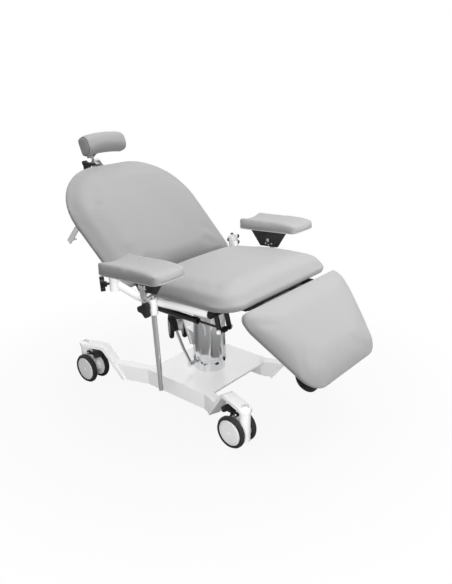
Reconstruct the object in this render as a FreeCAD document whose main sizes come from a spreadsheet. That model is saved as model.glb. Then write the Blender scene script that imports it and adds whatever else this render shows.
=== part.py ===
"""Hydraulic EEG chair: a wheeled base with a foot pumped column carries a tilted seat module.

X points to the patient's feet, Y to the patient's left and Z up, in millimetres. The origin lies on the
floor under the middle of the chair, a little behind the column's axis. The seat module is modelled level,
in its own frame, and then set on the lift head at its tilt. The backrest, the legrest and the casters
have frames of their own as well.
"""
import FreeCAD, Part
import math
import os
import re

V = FreeCAD.Vector
Placement = FreeCAD.Placement
Rotation = FreeCAD.Rotation
X_AXIS, Y_AXIS, Z_AXIS = V(1, 0, 0), V(0, 1, 0), V(0, 0, 1)

SIZES = {
    # clearances
    "seat_gap": 0.3, "fit_gap": 0.06, "side_gap": 0.5,
    # base, whose column stands ahead of the chair's middle
    "column_ahead": 23, "plate_length": 336, "plate_width": 324, "plate_thick": 8, "base_top": 97,
    "beam_width": 40, "beam_height": 68, "front_bend": 150, "rear_bend": 172, "splay_angle": 19,
    "front_foot": 182, "rear_foot": 278, "riser_lean": 37,
    "bar_thick": 14, "bar_width": 50, "bar_bend": 22, "arm_height": 151,
    "front_stem": 400, "rear_stem": 469,
    "cross_width": 40, "cross_height": 30, "cross_spacing": 220,
    "cap_radius": 13, "cap_height": 9,
    # casters
    "wheel_radius": 62.5, "tyre_width": 20, "tyre_depth": 13, "tread_groove": 1.5, "disc_recess": 2,
    "wheel_gap": 46, "trail": 38, "barrel_radius": 21, "barrel_foot": 30, "swivel_gap": 3,
    "axle_radius": 6, "hub_radius": 26,
    "pedal_pivot_back": 31, "pedal_drop": 23, "pedal_length": 69, "pedal_width": 54,
    "pedal_arm": 32, "pedal_thick": 9, "pedal_pin": 4,
    "front_right_angle": -2, "rear_right_angle": 180, "front_left_angle": -20, "rear_left_angle": 141,
    # column and hydraulics
    "column_foot_radius": 69, "column_top_radius": 64, "column_bore": 56, "column_top": 408,
    "flute_count": 8, "flute_width": 38, "flute_face": 60.5, "flute_foot": 28,
    "cylinder_radius": 44, "pump_radius": 53, "pump_height": 46, "ram_radius": 30, "ram_top": 412,
    "ram_clearance": 8,
    # pump lever
    "spindle_back": 25, "spindle_height": 127, "spindle_radius": 7, "spindle_inner": 54,
    "spindle_outer": 100, "lever_hub": 11, "lever_radius": 6, "lever_reach": 79, "lever_rise": 129,
    "lever_bow": 10, "lever_bend_radius": 180, "grip_length": 70, "grip_radius": 17,
    # seat module
    "seat_level": 500, "seat_tilt": 4.5,
    "head_length": 220, "head_thick": 12, "head_boss": 42,
    "frame_top": 4.3, "frame_depth": 40, "side_spacing": 240, "side_width": 30,
    "frame_rear": 70, "frame_front": 336, "cross_member": 30,
    "rail_radius": 15, "rail_spacing": 600, "rail_drop": 21, "rail_front": 265, "rail_kink": 85,
    "rail_end_back": 150, "rail_end_out": 57, "rail_end_rise": 66, "rail_bend": 70,
    "tie_radius": 11, "tie_front": 190, "tie_rear": 30,
    "end_cap_thick": 7, "end_cap_lip": 1,
    "clamp_radius": 17, "clamp_forward": 12, "clamp_low": 58, "clamp_tall": 60, "clamp_overlap": 3,
    "socket_radius": 21, "socket_tall": 58, "socket_bore": 12.5, "socket_overlap": 6,
    "socket_knob_angle": 53,
    "knob_radius": 31, "knob_valley": 17, "knob_thick": 18, "knob_shaft": 5, "knob_reach": 16,
    "knob_hub": 11,
    # seat cushion
    "seat_front": 379, "seat_rear": 96, "seat_post_room": 10, "seat_flare": 21, "seat_bottom": 4,
    "seat_top": 84,
    "seat_front_corner": 95, "seat_rear_corner": 45, "seat_crown": 2600,
    # backrest
    "pivot_back": 172, "pivot_drop": 20, "back_angle": 46.5, "pivot_radius": 10, "back_lug_boss": 14,
    "lug_thick": 8, "lug_low": 14, "lug_high": 11, "back_lug": 200,
    "back_bar": 25, "back_bar_spacing": 360, "back_bar_foot": 24, "back_bar_length": 545,
    "back_face": 20, "back_start": 6, "back_length": 576, "back_half": 340, "back_foot_half": 328,
    "back_taper_end": 320, "back_top_corner": 250, "back_foot_corner": 40, "back_thick": 86,
    "back_crown": 2400, "sweep_gap": 4,
    "roll_bar_at": 343, "roll_bar_half": 300, "roll_arm_reach": 105, "roll_arm_width": 22,
    "roll_arm_thick": 6, "roll_pin_radius": 5, "roll_pin_length": 28,
    # headrest
    "stem_radius": 7, "stem_depth": 20, "stem_foot": 530, "stem_top": 690,
    "clamp_block_at": 622, "clamp_block_long": 36, "clamp_block_wide": 34, "clamp_block_deep": 28,
    "clamp_strap": 6, "headrest_knob_radius": 25, "headrest_knob_valley": 14, "headrest_knob_reach": 28,
    "head_centre": 664, "head_offset": 88, "head_width_full": 214, "head_tall": 84, "head_deep": 66,
    "head_angle": 33, "head_pin": 5, "head_lug_thick": 6, "head_lug_gap": 16, "head_eye": 11,
    # legrest
    "leg_pivot_front": 379, "leg_pivot_drop": 20, "leg_angle": 47.5, "leg_pivot_radius": 9,
    "leg_lug": 176, "leg_lug_boss": 13,
    "leg_bar": 22, "leg_bar_spacing": 260, "leg_bar_length": 308, "leg_face": 14.5,
    "leg_start": 4, "leg_length": 346, "leg_half": 309, "leg_foot_half": 217, "leg_shoulder": 62,
    "leg_top_corner": 60, "leg_foot_corner": 95, "leg_thick": 72, "leg_crown": 2400,
    "bumper_radius": 48, "bumper_thick": 24, "bumper_at": 293, "bumper_half": 155, "foot_bar_half": 172,
    # gas springs
    "gas_radius": 11.5, "gas_bore": 10.2, "gas_rod": 4.2, "gas_collar": 13, "gas_collar_long": 15,
    "gas_eye": 11, "gas_eye_wide": 16, "gas_pin": 5, "gas_end": 30, "gas_lever_half": 13,
    "back_gas_out": 235, "back_gas_pin_ahead": 34, "back_gas_pin_below": 53, "back_gas_tube": 283,
    "back_gas_rod_start": 100, "fork_pin_front": 271, "fork_pin_drop": 98, "fork_spread": 54,
    "fork_thick": 6, "fork_half": 10, "fork_bar_front": 258, "fork_bar_drop": 35, "fork_bar": 8,
    "leg_gas_out": 152, "leg_gas_pin_back": 0, "leg_gas_pin_below": 34, "leg_gas_anchor": 60,
    "leg_gas_anchor_drop": 62, "leg_gas_tube": 215, "leg_gas_rod_start": 62,
    # armrests
    "post_radius": 10, "post_foot": 369, "post_top": 6, "arm_out": 404, "arm_forward": 56,
    "elbow_radius": 11, "elbow_bend": 14, "elbow_rise": 16, "riser_out": 392, "tilt_height": 70,
    "clevis_radius": 16, "tilt_pin": 6, "pin_head": 8, "pin_head_thick": 5,
    "bracket_out": 369, "bracket_forward": 37, "bracket_thick": 6,
    "bracket_top": 194, "bracket_foot": 92, "bracket_low": 29, "bracket_high": 43,
    "flange_width": 90, "flange_thick": 5,
    "pad_length": 288, "pad_width": 150, "pad_thick": 46, "pad_dish": 12, "pad_front_drop": 9,
    "pad_side_bulge": 5,
}

doc = FreeCAD.newDocument("eeg_chair")
sheet = doc.addObject("Spreadsheet::Sheet", "Sizes")
for row, (alias, value) in enumerate(SIZES.items(), start=1):
    sheet.set(f"A{row}", alias)
    sheet.set(f"B{row}", str(value))
    sheet.setAlias(f"B{row}", alias)
doc.recompute()

NODES = {}


def size(alias):
    """The number that the sheet holds under an alias."""
    return float(sheet.get(alias))


def bind(obj, prop, formula):
    """Bind a property to a formula of the sheet's aliases."""
    cells = re.sub(r"[a-z_]+", lambda word: "Sizes." + word[0] if word[0] in SIZES else word[0], formula)
    obj.setExpression(prop, cells)


def give(obj, prop, value):
    """Bind a property to a formula, or set it to a number worked out from the sheet."""
    if isinstance(value, str):
        bind(obj, prop, value)
    else:
        setattr(obj, prop, value)


def locate(obj, at, rotation=Rotation()):
    """Place an object at three formulas or numbers, with a fixed rotation."""
    numbers = [0 if isinstance(value, str) else value for value in at]
    obj.Placement = Placement(V(*numbers), rotation)
    for axis, value in zip("xyz", at):
        if isinstance(value, str):
            bind(obj, f"Placement.Base.{axis}", value)
    return obj


TURNS = {"x": Rotation(Y_AXIS, 90), "y": Rotation(X_AXIS, -90), "right": Rotation(X_AXIS, 90),
         "z": Rotation()}


def box(name, sides, at):
    """A block from its lowest corner."""
    obj = doc.addObject("Part::Box", name)
    for prop, value in zip(("Length", "Width", "Height"), sides):
        give(obj, prop, value)
    return locate(obj, at)


def rod(name, radius, height, at, axis="z"):
    """A round bar that starts at a point and runs along an axis."""
    obj = doc.addObject("Part::Cylinder", name)
    give(obj, "Radius", radius)
    give(obj, "Height", height)
    return locate(obj, at, TURNS[axis])


def fuse(name, *parts):
    obj = doc.addObject("Part::MultiFuse", name)
    obj.Shapes = list(parts)
    obj.Refine = False
    return obj


def cut(name, base, *tools):
    obj = doc.addObject("Part::Cut", name)
    obj.Base = base
    obj.Tool = tools[0] if len(tools) == 1 else fuse(name + "_tools", *tools)
    return obj


def common(name, base, tool):
    obj = doc.addObject("Part::Common", name)
    obj.Base = base
    obj.Tool = tool
    return obj


def group(name, *parts):
    obj = doc.addObject("Part::Compound", name)
    obj.Links = list(parts)
    return obj


def mirrored(name, source):
    """The left hand copy of a right hand piece."""
    obj = doc.addObject("Part::Mirroring", name)
    obj.Source = source
    obj.Normal = Y_AXIS
    return obj


def feature(name, shape):
    obj = doc.addObject("Part::Feature", name)
    obj.Shape = shape
    return obj


def moved(name, source, placement):
    """A copy of an object that stands at another place."""
    return feature(name, source.Shape.transformed(placement.toMatrix()))


def keep(label, obj, placement=None):
    """Register a finished piece as a node, set into the frame that it belongs to."""
    if placement is not None:
        if any("Placement" in path for path, _ in obj.ExpressionEngine):
            obj = group(label + "_set", obj)
        obj.Placement = placement.multiply(obj.Placement)
    obj.Label = label
    NODES[label] = obj
    return obj


def origin_plane(body, role):
    return next(item for item in body.Origin.OriginFeatures if item.Role == role)


def add_sketch(body, name, role, offset, curves):
    """A sketch on one of the body's own planes, moved along its normal."""
    sketch = body.newObject("Sketcher::SketchObject", name)
    sketch.AttachmentSupport = [(origin_plane(body, role), "")]
    sketch.MapMode = "FlatFace"
    sketch.AttachmentOffset = Placement(V(0, 0, offset), Rotation())
    sketch.addGeometry(curves, False)
    return sketch


def padded(name, role, offset, curves, length):
    """A body made of one padded sketch."""
    body = doc.addObject("PartDesign::Body", name)
    sketch = add_sketch(body, name + "_sketch", role, offset, curves)
    pad = body.newObject("PartDesign::Pad", name + "_pad")
    pad.Profile = sketch
    bind(pad, "Length", length)
    return body


def lofted(name, role, sections, straight=False):
    """A body lofted through sketches at several offsets, smoothly or straight from one to the next."""
    body = doc.addObject("PartDesign::Body", name)
    sketches = [add_sketch(body, f"{name}_section_{index}", role, offset, curves)
                for index, (offset, curves) in enumerate(sections)]
    loft = body.newObject("PartDesign::AdditiveLoft", name + "_loft")
    loft.Profile = sketches[0]
    loft.Sections = sketches[1:]
    loft.Ruled = straight
    return body


def revolved(name, points):
    """A body turned about Z from a closed profile of radius and height."""
    body = doc.addObject("PartDesign::Body", name)
    sketch = add_sketch(body, name + "_sketch", "XZ_Plane", 0, polygon(points))
    turn = body.newObject("PartDesign::Revolution", name + "_turn")
    turn.Profile = sketch
    turn.ReferenceAxis = (sketch, ["V_Axis"])
    turn.Angle = 360
    return body


def polygon(points):
    """Straight edges round a list of plane points."""
    corners = [V(*point, 0) for point in points]
    return [Part.LineSegment(a, b) for a, b in zip(corners, corners[1:] + corners[:1])]


def rounded(points, radii):
    """An outline of straight edges whose corners are arcs of the given radii."""
    corners = [V(*point, 0) for point in points]
    curves, ends = [], []
    for index, radius in enumerate(radii):
        here, before = corners[index], corners[index - 1]
        after = corners[(index + 1) % len(corners)]
        to_before, to_after = (before - here).normalize(), (after - here).normalize()
        half = to_before.getAngle(to_after) / 2
        reach = radius / math.tan(half)
        middle = (to_before + to_after).normalize()
        centre = here + middle * (radius / math.sin(half))
        start, end = here + to_before * reach, here + to_after * reach
        curves.append(Part.Arc(start, centre - middle * radius, end))
        ends.append((start, end))
    for index, (start, _) in enumerate(ends):
        curves.append(Part.LineSegment(ends[index - 1][1], start))
    return curves


def strip(a, b, c, radius, thick):
    """The side outline of a flat bar bent once on its way from a over b to c."""
    a, b, c = V(*a, 0), V(*b, 0), V(*c, 0)
    first, second = (b - a).normalize(), (c - b).normalize()
    turn = first.getAngle(second)
    reach = radius * math.tan(turn / 2)
    left = V(-first.y, first.x, 0)
    right_hand = first.cross(second).z < 0
    centre_side = -1 if right_hand else 1
    start, end = b - first * reach, b + second * reach
    centre = start + left * (radius * centre_side)
    middle = (b - centre).normalize()
    second_left = V(-second.y, second.x, 0)
    sides = []
    for side in (1, -1):
        shift = side * thick / 2
        bend = radius - shift * centre_side
        p, q = start + left * shift, end + second_left * shift
        sides.append((a + left * shift, p, centre + middle * bend, q, c + second_left * shift))
    (a1, p1, m1, q1, c1), (a2, p2, m2, q2, c2) = sides
    return [Part.LineSegment(a1, p1), Part.Arc(p1, m1, q1), Part.LineSegment(q1, c1),
            Part.LineSegment(c1, c2), Part.LineSegment(c2, q2), Part.Arc(q2, m2, p2),
            Part.LineSegment(p2, a2), Part.LineSegment(a2, a1)]


def link(a, b, radius):
    """The outline of a flat link with a round end about each of two points."""
    a, b = V(*a, 0), V(*b, 0)
    along = (b - a).normalize()
    side = V(-along.y, along.x, 0) * radius
    return [Part.LineSegment(a + side, b + side), Part.Arc(b + side, b + along * radius, b - side),
            Part.LineSegment(b - side, a - side), Part.Arc(a - side, a - along * radius, a + side)]


def lobes(count, outer, valley):
    """The outline of a star knob: rounded lobes with rounded valleys between them."""
    step = 2 * math.pi / count
    waist = (outer + valley) / 2

    def at(radius, angle):
        return V(radius * math.cos(angle), radius * math.sin(angle), 0)

    curves = []
    for index in range(count):
        tip = index * step
        curves.append(Part.Arc(at(waist, tip - step / 4), at(outer, tip), at(waist, tip + step / 4)))
        curves.append(Part.Arc(at(waist, tip + step / 4), at(valley, tip + step / 2),
                               at(waist, tip + 3 * step / 4)))
    return curves


def pipe(points, bend, radius):
    """A round bar along straight runs that are joined by tangent bends of one radius."""
    corners = [V(*point) for point in points]
    pieces = []
    last = corners[0]
    for before, here, after in zip(corners, corners[1:], corners[2:]):
        to_before, to_after = (before - here).normalize(), (after - here).normalize()
        half = to_before.getAngle(to_after) / 2
        middle = (to_before + to_after).normalize()
        start = here + to_before * (bend / math.tan(half))
        centre = here + middle * (bend / math.sin(half))
        pieces.append(Part.makeCylinder(radius, (start - last).Length, last, -to_before))
        section = Part.Face(Part.Wire(Part.makeCircle(radius, start, -to_before)))
        axis = to_after.cross(to_before)
        pieces.append(section.revolve(centre, axis, 180 - math.degrees(2 * half)))
        last = here + to_after * (bend / math.tan(half))
    pieces.append(Part.makeCylinder(radius, (corners[-1] - last).Length, last, corners[-1] - last))
    return pieces[0].fuse(pieces[1:]).removeSplitter()


def frame(origin, x_direction, y_direction):
    """The placement of a frame from its origin and two of its axes."""
    return Placement(origin, Rotation(x_direction, y_direction, x_direction.cross(y_direction), "XYZ"))


# Frames of the base, the seat module, the backrest and the legrest
BASE = Placement(V(size("column_ahead"), 0, 0), Rotation())
MODULE = BASE.multiply(Placement(V(0, 0, size("seat_level")), Rotation(Y_AXIS, -size("seat_tilt"))))
back_rise = math.radians(size("back_angle"))
BACK = MODULE.multiply(frame(V(-size("pivot_back"), 0, -size("pivot_drop")),
                             V(-math.cos(back_rise), 0, math.sin(back_rise)), V(0, -1, 0)))
LEG = MODULE.multiply(Placement(V(size("leg_pivot_front"), 0, -size("leg_pivot_drop")),
                                Rotation(Y_AXIS, size("leg_angle"))))


def splay_point(bend, forward, along_x):
    """The point of a splayed beam's centre line at a distance along X from the column."""
    start_y = (size("plate_width") + size("beam_width")) / 2
    run = along_x - bend
    return V(forward * along_x, -start_y - run * math.tan(math.radians(size("splay_angle"))), 0)


# Base plate, cross tubes, side beams and caster arms
def make_base_plate():
    half_length, half_width = size("plate_length") / 2, size("plate_width") / 2
    outline = polygon([(-half_length, -half_width), (half_length, -half_width),
                       (half_length, half_width), (-half_length, half_width)])
    plate = padded("plate", "XY_Plane", size("base_top") - size("plate_thick"), outline, "plate_thick")
    tubes = [box(f"cross_tube_{index}", ("cross_width", "plate_width", "cross_height"),
                 (f"{side} * cross_spacing / 2 - cross_width / 2", "-plate_width / 2",
                  "base_top - plate_thick - cross_height")) for index, side in enumerate((-1, 1))]
    keep("base_plate", group("base_plate", plate, *tubes), BASE)


def riser_frame(bend, forward, foot):
    """The frame at a riser's foot: its X runs outwards along the splayed beam."""
    point = splay_point(bend, forward, foot)
    point.z = size("base_top") - size("beam_height")
    splay = math.radians(size("splay_angle"))
    outwards = V(forward * math.cos(splay), -math.sin(splay), 0)
    return frame(point, outwards, Z_AXIS.cross(outwards))


def caster_arm(name, bend, forward, foot, stem):
    """A flat bar that rises at a lean from the beam's foot and runs level to the caster's stem."""
    place = riser_frame(bend, forward, foot)
    stem_point = splay_point(bend, forward, stem)
    reach = (stem_point - place.Base)
    reach.z = 0
    thick, lean = size("bar_thick"), math.radians(size("riser_lean"))
    rise = size("arm_height") + thick / 2 - place.Base.z
    across = thick / 2 / math.cos(lean)
    top = (across + rise * math.tan(lean), rise)
    profile = strip((across, 0), top, (reach.Length, rise), size("bar_bend"), thick)
    bar = padded(name + "_bar", "XZ_Plane", -size("bar_width") / 2, profile, "bar_width")
    round_end = doc.addObject("Part::Cylinder", name + "_end")
    bind(round_end, "Radius", "bar_width / 2")
    bind(round_end, "Height", "bar_thick")
    round_end.Placement = Placement(V(reach.Length, 0, rise - thick / 2), Rotation())
    arm = fuse(name, bar, round_end)
    arm.Placement = place
    return arm


def end_cutter(name, bend, forward, foot):
    """A block beyond the leaning plane where a beam ends against its riser."""
    span = 2 * size("rear_stem")
    block = Part.makeBox(span, span, span, V(0, -span / 2, -span / 2))
    block.Placement = Placement(V(), Rotation(Y_AXIS, size("riser_lean")))
    cutter = feature(name, block)
    cutter.Placement = riser_frame(bend, forward, foot).multiply(cutter.Placement)
    return cutter


def make_side_frames():
    inner = size("plate_width") / 2
    outer = inner + size("beam_width")
    slope = math.tan(math.radians(size("splay_angle")))
    front, rear = size("front_bend"), size("rear_bend")
    front_end, rear_end = size("front_stem"), size("rear_stem")

    def side(offset, shift):
        return [(-rear_end, -offset - (rear_end - rear - shift) * slope), (-rear - shift, -offset),
                (front + shift, -offset), (front_end, -offset - (front_end - front - shift) * slope)]

    miter = size("beam_width") * math.tan(math.radians(size("splay_angle")) / 2) / 2
    outline = polygon(side(inner, miter) + side(outer, -miter)[::-1])
    beam = padded("beam_right", "XY_Plane", size("base_top") - size("beam_height"), outline, "beam_height")
    trimmed = cut("beam_right_trimmed", beam,
                  end_cutter("front_trim", front, 1, size("front_foot")),
                  end_cutter("rear_trim", rear, -1, size("rear_foot")))
    arms = [caster_arm("front_arm", front, 1, size("front_foot"), front_end),
            caster_arm("rear_arm", rear, -1, size("rear_foot"), rear_end)]
    right = group("side_frame_right", trimmed, *arms)
    keep("side_frame_right", right, BASE)
    keep("side_frame_left", mirrored("side_frame_left", right))


STEMS = {"front_right": ("front_bend", 1, "front_stem", 1), "rear_right": ("rear_bend", -1, "rear_stem", 1),
         "front_left": ("front_bend", 1, "front_stem", -1), "rear_left": ("rear_bend", -1, "rear_stem", -1)}


def stem_point(corner):
    bend, forward, stem, side = STEMS[corner]
    point = splay_point(size(bend), forward, size(stem))
    return V(point.x, side * point.y, 0)


def make_caps():
    """A domed nut over each caster's stem."""
    radius, height = size("cap_radius"), size("cap_height")
    dome = revolved("caster_cap", [(0, 0), (radius, 0), (radius, height / 3), (radius * 0.72, height * 0.8),
                                   (radius * 0.3, height), (0, height)])
    doc.recompute()
    seat = size("arm_height") + size("bar_thick")
    caps = [moved(f"cap_{corner}", dome, Placement(stem_point(corner) + V(0, 0, seat), Rotation()))
            for corner in STEMS]
    keep("caster_caps", group("caster_caps", *caps), BASE)


# Casters, modelled with the stem on Z and the wheels trailing towards -X
def make_wheel_parts():
    """One tyre and one disc, turned about the axle, standing on Z before they are laid over."""
    radius, wide, deep = size("wheel_radius"), size("tyre_width"), size("tyre_depth")
    groove, recess = size("tread_groove"), size("disc_recess")
    rim, half, third = radius - deep, wide / 2, wide / 6
    tyre = revolved("tyre", [(rim, -half), (radius - deep / 3, -half), (radius, -third), (radius, -groove),
                             (radius - groove, 0), (radius, groove), (radius, third),
                             (radius - deep / 3, half), (rim, half)])
    bore = size("axle_radius") + size("fit_gap")
    cap = half - recess
    disc = revolved("disc", [(bore, -half), (rim, -half), (rim, cap), (rim - 3 * recess, cap),
                             (rim - 4 * recess, cap + recess), (bore, cap + recess)])
    return tyre, disc


def make_fork():
    """The barrel round the stem, the housing round the axle and the axle itself."""
    barrel = rod("barrel", "barrel_radius", "arm_height - swivel_gap - barrel_foot",
                 ("0", "0", "barrel_foot"))
    housing = rod("axle_housing", "hub_radius", "wheel_gap - 2 * side_gap",
                  ("-trail", "-wheel_gap / 2 + side_gap", "wheel_radius"), "y")
    neck = box("neck", ("trail", "2 * barrel_radius", "hub_radius * 2"),
               ("-trail", "-barrel_radius", "wheel_radius - hub_radius"))
    hinge = box("pedal_hinge", ("pedal_pivot_back + pedal_pin * 2", "pedal_arm / 3",
                                "arm_height - pedal_drop - wheel_radius + pedal_pin * 2"),
                ("-pedal_pivot_back - pedal_pin * 2", "-pedal_arm / 6", "wheel_radius"))
    collar = rod("stem_collar", "barrel_radius * 0.7", "swivel_gap", ("0", "0", "arm_height - swivel_gap"))
    pin = rod("pedal_pin", "pedal_pin", "pedal_arm",
              ("-pedal_pivot_back", "-pedal_arm / 2", "arm_height - pedal_drop"), "y")
    axle = rod("axle", "axle_radius", "wheel_gap + 2 * tyre_width - 2 * disc_recess",
               ("-trail", "-wheel_gap / 2 - tyre_width + disc_recess", "wheel_radius"), "y")
    return fuse("fork", barrel, housing, neck, hinge, collar, pin, axle)


def make_brake():
    """The shoe of the brake pedal: a forked arm on the pin and a broad tread behind the wheels."""
    back, height = size("pedal_pivot_back"), size("arm_height") - size("pedal_drop")
    thick, long = size("pedal_thick"), size("pedal_length")
    profile = strip((-back, height), (-back - long * 0.45, height + thick * 0.5),
                    (-back - long, height + thick * 0.2), thick * 4, thick)
    arm = padded("brake_arm", "XZ_Plane", -size("pedal_arm") / 2, profile, "pedal_arm")
    eye = rod("brake_eye", "pedal_pin + pedal_thick / 2", "pedal_arm",
              ("-pedal_pivot_back", "-pedal_arm / 2", "arm_height - pedal_drop"), "y")
    tread_start = back + long * 0.65
    wide = size("pedal_width") / 2
    shoe = rounded([(-back - long, -wide), (-tread_start, -wide), (-tread_start, wide), (-back - long, wide)],
                   [wide * 0.7, wide * 0.3, wide * 0.3, wide * 0.7])
    tread = padded("brake_tread", "XY_Plane", height - thick * 0.3, shoe, "pedal_thick")
    slot = box("brake_slot", ("pedal_pivot_back + pedal_pin * 3 + pedal_thick * 2",
                              "pedal_arm / 3 + 2 * side_gap", "pedal_thick * 4"),
               ("-pedal_pivot_back - pedal_pin * 3 - pedal_thick", "-pedal_arm / 6 - side_gap",
                "arm_height - pedal_drop - pedal_thick * 2"))
    hole = rod("brake_hole", "pedal_pin + fit_gap", "pedal_width",
               ("-pedal_pivot_back", "-pedal_width / 2", "arm_height - pedal_drop"), "y")
    barrel_room = rod("brake_room", "barrel_radius + side_gap", "pedal_thick * 4",
                      ("0", "0", "arm_height - pedal_drop - pedal_thick * 2"))
    return cut("brake", fuse("brake_solid", arm, eye, tread), slot, hole, barrel_room)


def make_casters():
    tyre, disc = make_wheel_parts()
    fork, brake = make_fork(), make_brake()
    doc.recompute()
    middle = (size("wheel_gap") + size("tyre_width")) / 2
    axle = V(-size("trail"), 0, size("wheel_radius"))
    for corner in STEMS:
        place = BASE.multiply(Placement(stem_point(corner), Rotation(Z_AXIS, size(corner + "_angle"))))
        wheels = [Placement(axle + V(0, side * middle, 0), Rotation(X_AXIS, -90 * side)) for side in (1, -1)]
        for kind, source in (("tyres", tyre), ("discs", disc)):
            pair = [moved(f"{corner}_{kind}_{index}", source, place.multiply(wheel))
                    for index, wheel in enumerate(wheels)]
            keep(f"caster_{corner}_{kind}", group(f"caster_{corner}_{kind}", *pair))
        keep(f"caster_{corner}_fork", moved(f"caster_{corner}_fork", fork, place))
        keep(f"caster_{corner}_brake", moved(f"caster_{corner}_brake", brake, place))


# Column, hydraulics and pump lever
def make_column():
    foot, top = size("base_top"), size("column_top")
    bore = size("column_bore")
    body = revolved("column_shell", [(bore, foot), (size("column_foot_radius"), foot),
                                     (size("column_top_radius"), top), (bore, top)])
    half = size("flute_width") / 2
    low = foot + size("flute_foot") + half
    flute = [Part.LineSegment(V(-half, top + half, 0), V(-half, low, 0)),
             Part.Arc(V(-half, low, 0), V(0, low - half, 0), V(half, low, 0)),
             Part.LineSegment(V(half, low, 0), V(half, top + half, 0)),
             Part.LineSegment(V(half, top + half, 0), V(-half, top + half, 0))]
    sketch = add_sketch(body, "flute_sketch", "XZ_Plane", size("flute_face"), flute)
    pocket = body.newObject("PartDesign::Pocket", "flute")
    pocket.Profile = sketch
    pocket.Reversed = True
    bind(pocket, "Length", "column_foot_radius")
    pattern = body.newObject("PartDesign::PolarPattern", "flutes")
    pattern.Originals = [pocket]
    pattern.Axis = (origin_plane(body, "Z_Axis"), [""])
    pattern.Angle = 360
    bind(pattern, "Occurrences", "flute_count")
    body.Tip = pattern
    body.Placement = Placement(V(), Rotation(Z_AXIS, 180 / size("flute_count")))
    spindle_hole = rod("spindle_hole", "spindle_radius + fit_gap", "spindle_outer",
                       ("-spindle_back", "-spindle_outer", "spindle_height"), "y")
    keep("column", cut("column", body, spindle_hole), BASE)


def make_hydraulics():
    barrel = rod("cylinder_barrel", "cylinder_radius", "column_top - base_top", ("0", "0", "base_top"))
    pump = rod("cylinder_pump", "pump_radius", "pump_height", ("0", "0", "base_top"))
    bore = rod("cylinder_bore", "ram_radius + fit_gap", "column_top",
               ("0", "0", "base_top + ram_clearance"))
    keep("hydraulic_cylinder", cut("hydraulic_cylinder", fuse("cylinder_solid", barrel, pump), bore), BASE)
    keep("lift_ram", rod("lift_ram", "ram_radius", "ram_top - base_top - ram_clearance",
                         ("0", "0", "base_top + ram_clearance")), BASE)


def make_pump_lever():
    """The rod leaves the spindle's hub and leans back to the tread, with a slight bow."""
    side = -(size("spindle_outer") - size("lever_hub"))
    root = V(-size("spindle_back"), side, size("spindle_height"))
    tip = root + V(-size("lever_reach"), 0, size("lever_rise"))
    along = (tip - root).normalize()
    bow = V(-along.z, 0, along.x) * size("lever_bow")
    middle = (root + tip) * 0.5 + bow * 0.5
    lever = feature("lever_rod", pipe([root, middle, tip], size("lever_bend_radius"), size("lever_radius")))
    spindle = rod("lever_spindle", "spindle_radius", "spindle_outer - spindle_inner",
                  ("-spindle_back", "-spindle_outer", "spindle_height"), "y")
    hub = rod("lever_hub_ring", "lever_hub", "lever_hub * 2",
              ("-spindle_back", "-spindle_outer", "spindle_height"), "y")
    keep("pump_lever", fuse("pump_lever", spindle, hub, lever), BASE)
    long, wide = size("grip_length"), size("grip_radius")
    grip = revolved("pump_grip", [(0, 0), (wide * 0.55, 0), (wide * 0.7, long * 0.12), (wide, long * 0.68),
                                  (wide * 0.94, long * 0.88), (wide * 0.6, long), (0, long)])
    end = (tip - middle).normalize()
    grip.Placement = frame(tip, Y_AXIS.cross(end), Y_AXIS)
    keep("pump_grip", grip, BASE)


# Lift head and seat frame
def make_lift_head():
    wide = "side_spacing + side_width - lug_thick * 3"
    plate = box("head_plate", ("head_length", wide, "head_thick"),
                ("-head_length / 2", f"-({wide}) / 2", "-frame_top - frame_depth - head_thick"))
    doc.recompute()
    tilted = moved("head_plate_tilted", plate, MODULE)
    boss = rod("head_boss", "head_boss", "seat_level - frame_top - frame_depth - ram_top - head_thick / 2",
               ("column_ahead", "0", "ram_top"))
    keep("lift_head", fuse("lift_head", tilted, boss))


def back_lug(name):
    """One of the two plates behind the seat that carry the backrest's pivot shaft."""
    arm = box(name + "_arm", ("pivot_back - frame_rear + cross_member", "lug_thick", "lug_low + lug_high"),
              ("-pivot_back", "-back_lug - lug_thick / 2", "-pivot_drop - lug_low"))
    boss = rod(name + "_boss", "back_lug_boss", "lug_thick",
               ("-pivot_back", "-back_lug - lug_thick / 2", "-pivot_drop"), "y")
    return [arm, boss]


def leg_lug(name):
    """One of the two plates in front of the seat that carry the legrest's pivot tube."""
    arm = box(name + "_arm",
              ("leg_pivot_front - frame_front + cross_member", "lug_thick", "leg_lug_boss * 2"),
              ("frame_front - cross_member", "-leg_lug - lug_thick / 2", "-leg_pivot_drop - leg_lug_boss"))
    boss = rod(name + "_boss", "leg_lug_boss", "lug_thick",
               ("leg_pivot_front", "-leg_lug - lug_thick / 2", "-leg_pivot_drop"), "y")
    return [arm, boss]


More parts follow.
